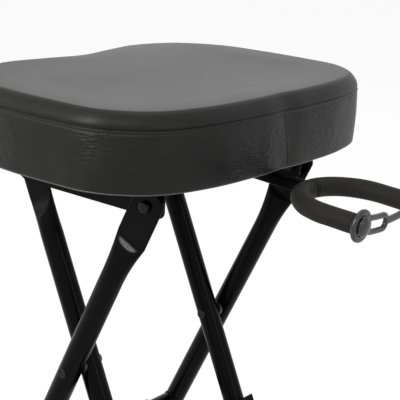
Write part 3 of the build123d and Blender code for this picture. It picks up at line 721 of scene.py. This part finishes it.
# %% Pad profile
PAD_HEIGHT = pad_high[2] - pad_low[2]
SEAM_HEIGHT = PAD_HEIGHT - SEAM_DROP
EDGE_IN = 12.0 * MM
FOLD_RADIUS = 2.2 * MM
TURN_UNDER = 10.0 * MM
UNDER_DROP = 0.4 * MM
BAND_SWELL = 1.2 * MM
SEAM_ZONE = 7.0 * MM
SEAM_DEPTH, SEAM_WIDTH = 1.0 * MM, 0.8 * MM
LIP_RISE, LIP_DROP, LIP_WIDTH = 0.55 * MM, 2.2 * MM, 1.0 * MM
STITCH_DENT, STITCH_DROP, STITCH_WIDTH = 0.45 * MM, 4.4 * MM, 0.8 * MM
UNDER_ROWS, FOLD_ROWS, BAND_ROWS, SEAM_ROWS, ROLL_ROWS = 5, 7, 14, 24, 18


def seam_relief(height):
    """How far the cover lies in: the sewn groove, less the raised lip under it, plus the stitched dent."""
    below = SEAM_HEIGHT - height
    groove = SEAM_DEPTH * bell(below, SEAM_WIDTH)
    lip = LIP_RISE * bell(below - LIP_DROP, LIP_WIDTH)
    dent = STITCH_DENT * bell(below - STITCH_DROP, STITCH_WIDTH)
    return groove - lip + dent


def pad_profile(fine=True):
    """(inset, height) rows: cloth turned under, folded edge, swelling band, seam and a rolled edge."""
    under = np.stack([np.linspace(TURN_UNDER, FOLD_RADIUS, UNDER_ROWS, endpoint=False),
                      np.full(UNDER_ROWS, -UNDER_DROP)], -1)
    fold = quarter_turn(FOLD_ROWS)[:-1]
    folded = np.stack([FOLD_RADIUS * (1 - np.sin(fold)), -UNDER_DROP + FOLD_RADIUS * (1 - np.cos(fold))], -1)
    zone_start = SEAM_HEIGHT - SEAM_ZONE
    height = np.concatenate([np.linspace(FOLD_RADIUS - UNDER_DROP, zone_start, BAND_ROWS, endpoint=False),
                             np.linspace(zone_start, SEAM_HEIGHT, SEAM_ROWS, endpoint=False)])
    band = np.stack([-BAND_SWELL * np.sin(np.pi * height / SEAM_HEIGHT), height], -1)
    roll = quarter_turn(ROLL_ROWS)
    rolled = np.stack([EDGE_IN * (1 - np.cos(roll)),
                       SEAM_HEIGHT + (PAD_HEIGHT - SEAM_HEIGHT) * np.sin(roll)], -1)
    rows = np.vstack([under, folded, band, rolled]) + (BAND_SWELL, 0)
    if fine:
        rows[:, 0] += seam_relief(rows[:, 1])
    return rows


print("pad profile", len(pad_profile()), "rows, seam at", round(SEAM_HEIGHT / MM, 1), "mm")

# %% [markdown]
# Profile and outline together give the cover's side, one grid of points. The top panel goes on from its last
# row: copies of that row shrink towards the middle and sink into a shallow dish, where people sit.

# %% Pad surface
TOP_ROWS = 22
MIDDLE_SHARE = 0.02
DISH_DEPTH = 4.0 * MM
DISH_PLACE_SHARE, DISH_DEEP_SHARE, DISH_WIDE_SHARE = 0.15, 0.6, 0.8
DISH_RAMP = 3


def pad_points(outline, profile):
    """The profile moved in along the outline's normal, then rows that shrink over a soft dish."""
    inset, height = profile[:, 0], profile[:, 1]
    plan = outline[None] + inset[:, None, None] * inward_normals(outline)[None]
    side = np.concatenate([plan, np.broadcast_to(height[:, None, None], (len(height), len(outline), 1))], -1)
    shrink = np.linspace(1, MIDDLE_SHARE, TOP_ROWS)[1:, None, None]
    top = PAD_MIDDLE + (side[-1, :, :2] - PAD_MIDDLE)[None] * shrink
    across = (top - PAD_MIDDLE) / PAD_HALF
    dish = DISH_DEPTH * np.exp(-((across[..., 0] - DISH_PLACE_SHARE) / DISH_DEEP_SHARE)**2
                               - (across[..., 1] / DISH_WIDE_SHARE)**2)
    from_edge = np.clip((1 - shrink[..., 0]) * DISH_RAMP, 0, 1)
    level = PAD_HEIGHT - dish * from_edge**2 * (3 - 2 * from_edge)
    points = np.concatenate([side, np.concatenate([top, level[..., None]], -1)], 0)
    points[..., 2] += pad_low[2]
    return points


plain_grid = pad_points(outline, pad_profile(fine=False))
print("plain pad", plain_grid.shape[:2], "rows and columns")

# %% [markdown]
# Foam under a tight cover presses it out a little everywhere except where it is stapled. Guessing that by
# hand gives an even bulge, so a coarse copy of the cover is simulated as cloth under pressure, with its
# lower edge pinned. Only its displacement is kept, capped, and added to the fine cover before the
# seams, which a simulated mesh of this size could not hold. Pressure alone would draw the band in as the top
# domes, but the foam behind it stops that and spreads the load, so only the outward part of each shift is
# kept, and it is smoothed.

# %% Cover under pressure
SIM_COLUMNS, SIM_PINNED_ROWS, SIM_FRAMES = 110, 8, 20
SIM_PRESSURE, SIM_STIFFNESS = 4.0, 25.0
SWELL_CAP = 2.6 * MM
SMOOTHING_ROUNDS = 8
STAPLED_RAMP_ROWS = 4


def grid_normals(points):
    """Outward directions: the step round the grid crossed with the step up it."""
    around = np.roll(points, -1, axis=1) - np.roll(points, 1, axis=1)
    return unit(np.cross(around, np.gradient(points, axis=0)))


def smoothed(field, rounds):
    """Each value drawn half way to the mean of its four neighbours, again and again; columns close round."""
    for _ in range(rounds):
        padded = np.pad(field, ((1, 1), (0, 0)), mode="edge")
        near = padded[:-2] + padded[2:] + np.roll(field, 1, axis=1) + np.roll(field, -1, axis=1)
        field = field / 2 + near / 8
    return field


def cloth_shift(coarse):
    """How far cloth pressure moves each point of the coarse cover, with its lowest rows pinned."""
    piece = bpy.data.objects.new("cover_sim", grid_mesh("cover_sim", [(coarse, "topped")]))
    scene.collection.objects.link(piece)
    pins = piece.vertex_groups.new(name="stapled")
    pins.add(list(range(SIM_PINNED_ROWS * SIM_COLUMNS)), 1.0, "REPLACE")
    cloth = piece.modifiers.new("cover_cloth", "CLOTH")
    cloth.settings.vertex_group_mass = "stapled"
    cloth.settings.tension_stiffness = SIM_STIFFNESS
    cloth.settings.compression_stiffness = SIM_STIFFNESS
    cloth.settings.use_pressure = True
    cloth.settings.uniform_pressure_force = SIM_PRESSURE
    cloth.settings.effector_weights.gravity = 0
    cloth.point_cache.frame_start, cloth.point_cache.frame_end = 1, SIM_FRAMES
    for frame_number in range(1, SIM_FRAMES + 1):
        scene.frame_set(frame_number)
    solved = piece.evaluated_get(bpy.context.evaluated_depsgraph_get())
    moved = np.empty(3 * len(solved.data.vertices))
    solved.data.vertices.foreach_get("co", moved)
    shift = moved.reshape(-1, 3)[:coarse.size // 3].reshape(coarse.shape) - coarse
    bpy.data.objects.remove(piece)
    scene.frame_set(1)
    return shift


def cover_swell(coarse):
    """The outward part of each shift, smoothed, and bent over by tanh so that none passes the cap."""
    outward = grid_normals(coarse)
    size = smoothed(np.maximum((cloth_shift(coarse) * outward).sum(-1), 0), SMOOTHING_ROUNDS)
    size *= np.clip((np.arange(len(size)) - SIM_PINNED_ROWS) / STAPLED_RAMP_ROWS, 0, 1)[:, None]
    print("cover swell, mm: mean", round(size.mean() / MM, 2), "most", round(size.max() / MM, 2))
    return (SWELL_CAP * np.tanh(size / SWELL_CAP))[..., None] * outward


# %% [markdown]
# The coarse copy has a quarter of the columns and fewer rows: every second one below the seam, every sixth
# at the seam, and every third over the rolled edge and the top. Its swelling is then read between its points
# for the fine grid.

# %% Swelling of the fine cover
COARSE_STEPS = ((0, 25, 2), (25, 50, 6), (50, None, 3))


def sampled(values, row_places, column_places):
    """Values[row, column] read between its points: blends of the four nearest, with columns closing round."""
    row_low = np.clip(np.floor(row_places).astype(int), 0, len(values) - 2)
    row_share = (row_places - row_low)[:, None, None]
    column_low = np.floor(column_places).astype(int) % values.shape[1]
    column_share = (column_places % 1)[None, :, None]
    column_high = (column_low + 1) % values.shape[1]
    below, above = values[row_low], values[row_low + 1]
    low = below[:, column_low] * (1 - column_share) + below[:, column_high] * column_share
    high = above[:, column_low] * (1 - column_share) + above[:, column_high] * column_share
    return low * (1 - row_share) + high * row_share


coarse_outline, _ = pad_outline(SIM_COLUMNS, crowded=False)
every_row = np.arange(len(plain_grid))
stretches = [every_row[slice(*steps)] for steps in COARSE_STEPS]
coarse_rows = np.unique(np.concatenate([*stretches, every_row[-1:]]))
coarse_grid = pad_points(coarse_outline, pad_profile(fine=False))[coarse_rows]
row_places = np.interp(every_row, coarse_rows, np.arange(len(coarse_rows)))
swell = sampled(cover_swell(coarse_grid), row_places, round_share * SIM_COLUMNS)
print("coarse cover", coarse_grid.shape[:2], "rows and columns")

# %% [markdown]
# The fine cover takes the swelling, then its seams: the groove all round is part of the profile, and the rear
# join is a narrow slanting groove in the band. Solidify gives the vinyl its thickness inwards, so the outer
# face stays where it was measured.

# %% Cover
COVER_THICKNESS = 1.3 * MM
JOIN_DEPTH, JOIN_WIDTH = 0.35 * MM, 1.2 * MM
JOIN_SLANT = 10.0 / 45.0
JOIN_FADE = 2.0 * MM
REAR_SHARE = 0.8


def with_rear_join(points):
    """The band pulled in along a slanting line at the rear, by a bell curve across that line."""
    height = points[..., 2] - pad_low[2]
    line = JOIN_PLACE - (height - SEAM_HEIGHT / 2) * JOIN_SLANT
    on_band = np.clip((SEAM_HEIGHT - height) / JOIN_FADE, 0, 1) * np.clip(height / JOIN_FADE, 0, 1)
    groove = JOIN_DEPTH * bell(points[..., 1] - line, JOIN_WIDTH) * on_band
    at_rear = points[..., 0] > PAD_MIDDLE[0] + PAD_HALF[0] * REAR_SHARE
    pulled = points.copy()
    pulled[..., 0] -= groove * at_rear
    return pulled


cover_grid = with_rear_join(pad_points(outline, pad_profile()) + swell)
seat_pad = make_piece("seat_pad", [(cover_grid, "topped")], "seat", "cover_vinyl", ["seat_cover"])
wall = seat_pad.modifiers.new("vinyl_thickness", "SOLIDIFY")
wall.thickness = COVER_THICKNESS
wall.offset = -1

# %% [markdown]
# The foam core is the cover's own surface moved in along its normals, so it fills the swollen cover evenly
# and never shows through. A thin bead runs round the lower edge in a paler grey than the vinyl: a painted
# highlight, standing in for the light that the folded edge catches from the pale floor.

# %% Foam core and painted edge highlight
FOAM_GAP = 2.1 * MM
CORE_ROW_STEP, CORE_COLUMN_STEP = 3, 4
HIGHLIGHT_BEAD_RADIUS, HIGHLIGHT_BEAD_INSET, HIGHLIGHT_BEAD_SIDES = 0.75 * MM, 0.70 * MM, 12
board_top = box_of("seat_board")[1][2]


def at_height(plan, height):
    """A level path: points in plan, all at one height."""
    return np.concatenate([plan, np.full((len(plan), 1), height)], -1)


core_rows = np.flatnonzero(plain_grid[:, 0, 2] > board_top)[::CORE_ROW_STEP]
core_grid = (plain_grid + swell)[core_rows, ::CORE_COLUMN_STEP]
core_grid -= FOAM_GAP * grid_normals(core_grid)
core_grid[0, :, 2] = board_top
pad_core = make_piece("pad_foam_core", [(core_grid, "capped")], "seat", "pad_foam", ["seat_foam"])

# A thin bead at the lower fold, painted paler: a painted highlight for the light that the fold catches.
highlight_bead_path = at_height(outline + (BAND_SWELL + HIGHLIGHT_BEAD_INSET) * inward_normals(outline),
                      pad_low[2] - UNDER_DROP + HIGHLIGHT_BEAD_RADIUS)
make_piece("pad_painted_edge_highlight", [(tube_rings(highlight_bead_path, HIGHLIGHT_BEAD_RADIUS, UP, HIGHLIGHT_BEAD_SIDES, closed=True), "ring")],
           "seat", "cover_vinyl", finish="painted_edge_highlight")

# %% [markdown]
# Stitches and staples are hundreds of short rods, so each has only six sides. The stitches lie in the dent
# that the profile keeps for them, and the staples hold the cloth that is turned under the board.

# %% Stitches and staples
STITCH_LENGTH, STITCH_RADIUS, STITCHES = 3.0 * MM, 0.35 * MM, 300
STAPLE_LENGTH, STAPLE_RADIUS, STAPLES = 9.0 * MM, 0.4 * MM, 64
STAPLE_INSET = 6.0 * MM
PIN_PLACE_SHARES = np.array([-0.5, -0.38, 0.38, 0.5])
PIN_SIZE_SHARES = np.array([0.4, 1.0, 1.0, 0.4])
PIN_SIDES = 6


def short_rods(path, length, radius):
    """Six-sided rods laid along a closed path: every rod is four rings, the outer two drawn in."""
    ahead = unit(np.roll(path, -1, 0) - np.roll(path, 1, 0))
    across = unit(np.cross(ahead, UP))
    lift = np.cross(across, ahead)
    at = PIN_PLACE_SHARES[None, :, None, None] * length
    size = PIN_SIZE_SHARES[None, :, None, None] * radius
    turn = full_turn(PIN_SIDES)[None, None, :, None]
    rods = (path[:, None, None] + at * ahead[:, None, None]
            + size * (np.cos(turn) * across[:, None, None] + np.sin(turn) * lift[:, None, None]))
    return [(rod, "capped") for rod in rods]


stitch_row = int(np.argmin(np.abs(pad_profile()[:, 1] - (SEAM_HEIGHT - STITCH_DROP))))
stitch_places = np.linspace(0, 1, STITCHES, endpoint=False)
stitch_line = np.vstack([cover_grid[stitch_row], cover_grid[stitch_row, :1]])
stitch_path = np.stack([np.interp(stitch_places, np.append(round_share, 1.0), stitch_line[:, k])
                        for k in range(3)], -1)
make_piece("seam_stitches", short_rods(stitch_path, STITCH_LENGTH, STITCH_RADIUS),
           "seat", "cover_vinyl", finish="thread")

staple_outline, _ = pad_outline(STAPLES, crowded=False)
staple_path = at_height(staple_outline + STAPLE_INSET * inward_normals(staple_outline),
                        pad_low[2] - UNDER_DROP - STAPLE_RADIUS / 2)
make_piece("cover_staples", short_rods(staple_path, STAPLE_LENGTH, STAPLE_RADIUS), "seat", "dark_steel")

# %% [markdown]
# The yoke is a bent rod in two foam sleeves that meet beside the arm, where a ring shows. Its middle line is
# an arc with two straight runs, and one distance along it gives every place: negative to the left, positive
# to the right.

# %% Yoke line
ROD_RADIUS = 4.5 * MM
YOKE_DROOP = np.radians(3.24)
rod_low, rod_high = box_of("yoke_rod")
HUB = np.array([rod_low[0] + ROD_RADIUS, 0.0, rod_high[2] - ROD_RADIUS])
YOKE_RADIUS = (rod_high[1] - rod_low[1]) / 2 - ROD_RADIUS
YOKE_RUN = (rod_high[0] - HUB[0] - ROD_RADIUS * np.sin(YOKE_DROOP)) / np.cos(YOKE_DROOP)
YOKE_ALONG = np.array([np.cos(YOKE_DROOP), 0.0, -np.sin(YOKE_DROOP)])
YOKE_ACROSS = np.array([0.0, 1.0, 0.0])
YOKE_UP = np.cross(YOKE_ALONG, YOKE_ACROSS)
QUARTER_ARC = YOKE_RADIUS * np.pi / 2
TIP_DISTANCE = QUARTER_ARC + YOKE_RUN - YOKE_RADIUS


def yoke_place(along, across, up=0.0):
    """A point given in the yoke's own directions, measured from its hub."""
    parts = np.broadcast_arrays(along, across, up)
    return HUB + sum(part[..., None] * axis for part, axis in zip(parts, (YOKE_ALONG, YOKE_ACROSS, YOKE_UP)))


def yoke_line(distance):
    """The rod's middle line: R (1 - cos a), R sin a up to a quarter turn, then straight."""
    angle = np.clip(np.abs(distance) / YOKE_RADIUS, 0, np.pi / 2)
    straight = np.maximum(np.abs(distance) - QUARTER_ARC, 0)
    return yoke_place(YOKE_RADIUS * (1 - np.cos(angle)) + straight,
                      np.sign(distance) * YOKE_RADIUS * np.sin(angle))


print("yoke radius", round(YOKE_RADIUS / MM, 1), "mm, run", round(YOKE_RUN / MM, 1), "mm")

# %% [markdown]
# The sleeves are tubes on that line, with soft rounded ends and a slightly uneven skin, because extruded foam
# is never perfectly round. A crease near the joint marks off the collar that the photograph shows there.

# %% Yoke sleeves
FOAM_RADIUS = 10.0 * MM
FOAM_EDGE = 1.6 * MM
FOAM_UNEVEN = 0.14 * MM
UNEVEN_SHORTEST, UNEVEN_LONGEST = 20 * MM, 60 * MM
JOINT_ANGLE = np.radians(1.5)
JOINT_GAP = 1.6 * MM
COLLAR_WIDTH = 4.4 * MM
COLLAR_REACH = 1.5 * COLLAR_WIDTH
CREASE_DEPTH, CREASE_WIDTH = 1.5 * MM, 0.50 * MM
EDGE_ROWS, COLLAR_ROWS, SLEEVE_ROWS, SLEEVE_SIDES = 8, 20, 90, 48


def rounded_ends(distance, radius, edge):
    """Radius along a sleeve, drawn in at both ends by a quarter circle of the edge's size."""
    from_end = np.clip(np.minimum(distance - distance[0], distance[-1] - distance), 0, edge)
    return radius - edge + np.sqrt(edge**2 - (edge - from_end)**2)


def sleeve_distances(start, end, count=SLEEVE_ROWS):
    """Places along a sleeve, packed towards both ends, where its edge is rounded, and past its collar."""
    ends = FOAM_EDGE * (1 - np.cos(quarter_turn(EDGE_ROWS)))
    collar_end = start + COLLAR_REACH
    return np.concatenate([start + ends, np.linspace(start + FOAM_EDGE, collar_end, COLLAR_ROWS)[1:-1],
                           np.linspace(collar_end, end - FOAM_EDGE, count)[:-1], (end - ends)[::-1]])


def uneven(distance, seed):
    """A slow seeded wobble of the foam's radius: the mean of three sines, whose lengths are 20 to 60 mm."""
    rng = np.random.default_rng(seed)
    length, phase = rng.uniform(UNEVEN_SHORTEST, UNEVEN_LONGEST, 3), rng.uniform(0, 2 * np.pi, 3)
    return FOAM_UNEVEN * np.sin(distance[:, None] / length * 2 * np.pi + phase).mean(1)


joint = YOKE_RADIUS * JOINT_ANGLE
for sleeve_name, node, start, end, seed in (
        ("yoke_sleeve_left", "yoke_foam_left", -TIP_DISTANCE, joint, 3),
        ("yoke_sleeve_right", "yoke_foam_right", joint + JOINT_GAP, TIP_DISTANCE, 4)):
    distance = sleeve_distances(start, end)
    radius = rounded_ends(distance, FOAM_RADIUS, FOAM_EDGE) + uneven(distance, seed)
    radius -= CREASE_DEPTH * bell(distance - joint - COLLAR_WIDTH, CREASE_WIDTH)
    make_piece(sleeve_name, [(tube_rings(yoke_line(distance), radius, YOKE_UP, SLEEVE_SIDES), "capped")],
               "yoke", "grip_foam", [node])

# %% [markdown]
# The arm is a square bar with eased edges, and these edges matter: in black paint they are all that the eye
# sees of it, two thin light lines. A superellipse gives the rounded square, and its height follows a circle
# at the pivot end.

# %% Yoke arm
ARM_POWER = 9.0
ARM_END_ROWS, ARM_RUN_ROWS, ARM_SIDES = 14, 16, 72
ARM_TIP_HALF = 0.05 * MM
arm_bolt_low, arm_bolt_high = box_of("arm_pivot_bolt")
arm_low, arm_high = box_of("yoke_arm")
ARM_HALF = (arm_high[1] - arm_low[1]) / 2
arm_pivot = (arm_bolt_low + arm_bolt_high) / 2 * (1, 0, 1)
ARM_RUN = (HUB - arm_pivot) @ YOKE_ALONG - ROD_RADIUS


def arm_points():
    """Rows along the bar, columns round |u|^p + |v|^p = 1; half height = sqrt(half^2 - a^2) at the end."""
    rounded = -ARM_HALF * np.cos(quarter_turn(ARM_END_ROWS))
    along = np.concatenate([rounded, np.linspace(0, ARM_RUN, ARM_RUN_ROWS)[1:]])
    turn = full_turn(ARM_SIDES)
    cosine, sine = np.cos(turn), np.sin(turn)
    size = (np.abs(cosine)**ARM_POWER + np.abs(sine)**ARM_POWER)**(-1 / ARM_POWER)
    height = np.sqrt(np.maximum(ARM_HALF**2 - np.minimum(along, 0)**2, ARM_TIP_HALF**2))
    width = (size * cosine * ARM_HALF)[None, :, None]
    rise = (size * sine)[None, :, None] * height[:, None, None]
    return arm_pivot + along[:, None, None] * YOKE_ALONG + width * YOKE_ACROSS + rise * YOKE_UP


make_piece("yoke_arm_bar", [(arm_points(), "capped")], "yoke", "frame_paint", ["yoke_arm"])

# %% [markdown]
# At each tip sit a moulded flange, the strap and a domed button. Flange and button are turned parts: one
# profile each, spun about the rod's own line.

# %% Flanges and buttons
FLANGE_RADIUS, FLANGE_HEIGHT, FLANGE_EDGE = 11.0 * MM, 3.0 * MM, 1.3 * MM
BUTTON_RADIUS, BUTTON_NECK, BUTTON_HEIGHT = 10.3 * MM, 3.8 * MM, 5.0 * MM
BUTTON_UNDERSIDE_SHARE, BUTTON_RIM_SHARE = 0.93, 0.18
BUTTON_TIP = 0.2 * MM
FACE_GAP = 0.1 * MM
STRAP_HALF_THICKNESS = 2.6 * MM
FLANGE_ROWS, DOME_ROWS, TURNED_SIDES = 14, 18, 64


def turned_part(profile, along, across):
    """(radius, height) rows spun about the yoke's direction at a place in its plane."""
    turn = full_turn(TURNED_SIDES)[None, :]
    radius, height = profile[:, :1], profile[:, 1:]
    return yoke_place(along + height, across + radius * np.cos(turn), radius * np.sin(turn))


def flange_profile():
    """A disc with a rounded rim: radius = inner + edge sin t, height from nought to full by its cosine."""
    turn = np.linspace(0, np.pi, FLANGE_ROWS)[:, None]
    return np.hstack([FLANGE_RADIUS - FLANGE_EDGE + FLANGE_EDGE * np.sin(turn),
                      FLANGE_HEIGHT / 2 - FLANGE_HEIGHT / 2 * np.cos(turn)])


def button_profile():
    """Neck, then a flat underside, a small rounded rim and a dome that is a quarter ellipse."""
    neck_run = FACE_GAP + 2 * STRAP_HALF_THICKNESS + FACE_GAP
    neck = np.array([[BUTTON_NECK, 0.0], [BUTTON_NECK, neck_run],
                     [BUTTON_RADIUS * BUTTON_UNDERSIDE_SHARE, neck_run]])
    turn = quarter_turn(DOME_ROWS)[:, None]
    rim = BUTTON_RIM_SHARE * BUTTON_HEIGHT
    dome = np.hstack([BUTTON_RADIUS * np.cos(turn), neck_run + rim + (BUTTON_HEIGHT - rim) * np.sin(turn)])
    return np.vstack([neck, dome[:-1], [[BUTTON_TIP, neck_run + BUTTON_HEIGHT]]])


for part_name, node, profile, start in (
        ("tip_flanges", "yoke_end_flanges", flange_profile(), YOKE_RUN),
        ("domed_buttons", "strap_buttons", button_profile(), YOKE_RUN + FLANGE_HEIGHT)):
    make_piece(part_name, [(turned_part(profile, start, side * YOKE_RADIUS), "capped") for _, side in SIDES],
               "yoke", "gloss_rubber", [node])

# %% [markdown]
# The strap is a single moulding of a ring, a link, a bar and a second ring. Its four shapes are flat loops
# with a rounded section, which overlap where the moulding joins them, and the rubber sags a little between
# the two rings.

# %% Strap
RING_RADIUS, RING_BORE = 16.2 * MM, 9.0 * MM
LINK_OFFSET, LINK_LENGTH, LINK_HEIGHT, LINK_BAR = 7.0 * MM, 43.0 * MM, 20.0 * MM, 5.8 * MM
STRAP_BAR_HALF = 3.6 * MM
STRAP_SAG = 5.0 * MM
STRAP_POWER, LINK_POWER = 2.6, 2.2
RING_STEPS, LINK_STEPS, BAR_STEPS, LOOP_SIDES = 96, 120, 30, 28
STRAP_START = YOKE_RUN + FLANGE_HEIGHT + FACE_GAP
RING_PLACE = YOKE_RADIUS


def strap_sag(across):
    """How far the strap hangs below the line of its rings: a parabola, deepest half way between them."""
    return STRAP_SAG * (1 - (across / RING_PLACE)**2)


def flat_loop(across, up, half_width, power=STRAP_POWER, closed=True):
    """A path in the strap's plane with a superellipse section, half_width in the plane."""
    step = (lambda v: np.roll(v, -1) - np.roll(v, 1)) if closed else np.gradient
    ahead = unit(np.stack([step(across), step(up)], -1))
    turn = full_turn(LOOP_SIDES)[None, :]
    spread = half_width * fuller(np.cos(turn), 2 / power)
    return yoke_place(STRAP_START + STRAP_HALF_THICKNESS * (1 + fuller(np.sin(turn), 2 / power)),
                      across[:, None] + spread * ahead[:, 1:], up[:, None] - spread * ahead[:, :1])


def link_path(centre, half_length, half_height):
    """A stadium: two straight runs and two half circles, walked at an even pace."""
    straight = 2 * (half_length - half_height)
    arc = np.pi * half_height
    pace = np.linspace(0, 2 * (straight + arc), LINK_STEPS, endpoint=False)
    knots = np.cumsum([0, straight, arc, straight, arc])
    a = np.clip(pace - knots[1], 0, arc) / half_height
    b = np.clip(pace - knots[3], 0, arc) / half_height
    forward = np.clip(pace, 0, straight) - np.clip(pace - knots[2], 0, straight)
    across = -straight / 2 + forward + half_height * (np.sin(a) - np.sin(b))
    return centre + across, half_height * (np.where(pace < knots[3], -np.cos(a), np.cos(b)))


ring_turn = full_turn(RING_STEPS)
ring_line, ring_half = (RING_RADIUS + RING_BORE) / 2, (RING_RADIUS - RING_BORE) / 2
link_middle = LINK_OFFSET + LINK_LENGTH / 2 - RING_PLACE
link_across, link_up = link_path(link_middle, (LINK_LENGTH - LINK_BAR) / 2, (LINK_HEIGHT - LINK_BAR) / 2)
bar_across = np.linspace(link_middle + (LINK_LENGTH - LINK_BAR) / 2, RING_PLACE - ring_line, BAR_STEPS)
strap_grids = [(flat_loop(side * RING_PLACE + ring_line * np.cos(ring_turn), ring_line * np.sin(ring_turn),
                          ring_half), "ring") for _, side in SIDES]
link_up = link_up - strap_sag(link_across)
strap_grids.append((flat_loop(link_across, link_up, LINK_BAR / 2, LINK_POWER), "ring"))
strap_grids.append((flat_loop(bar_across, -strap_sag(bar_across), STRAP_BAR_HALF, closed=False), "capped"))
make_piece("rubber_strap", strap_grids, "yoke", "gloss_rubber", ["retaining_strap"])

# %% [markdown]
# The other sleeves are straight: foam on the body rest and on the two prongs of the cradle, and rubber on the
# footrest. They take their place and size from the CAD solids that they stand for, and the same rounded ends
# and uneven skin as the yoke's sleeves.

# %% Straight sleeves
STRAIGHT_ROWS = 40


def straight_sleeve(node, axis, seed):
    """A tube along X or Y through the middle of a node's box, as long and as thick as the box."""
    low, high = box_of(node)
    middle, half = (low + high) / 2, (high - low) / 2
    distance = sleeve_distances(-half[axis], half[axis], STRAIGHT_ROWS)
    path = np.repeat(middle[None], len(distance), 0)
    path[:, axis] += distance
    width = rounded_ends(distance, half[2], FOAM_EDGE) + np.minimum(uneven(distance, seed), 0)
    return tube_rings(path, width, UP, SLEEVE_SIDES)


for sleeve_name, node, axis, body, slot, seed in (
        ("rest_sleeve", "body_rest_foam", 1, "inner_frame", "grip_foam", 5),
        ("footrest_rubber", "footrest_sleeve", 1, "outer_frame", "rubber", 6),
        ("cradle_sleeve_left", "cradle_foam_left", 0, "cradle", "grip_foam", 7),
        ("cradle_sleeve_right", "cradle_foam_right", 0, "cradle", "grip_foam", 8)):
    make_piece(sleeve_name, [(straight_sleeve(node, axis, seed), "capped")], body, slot, [node])
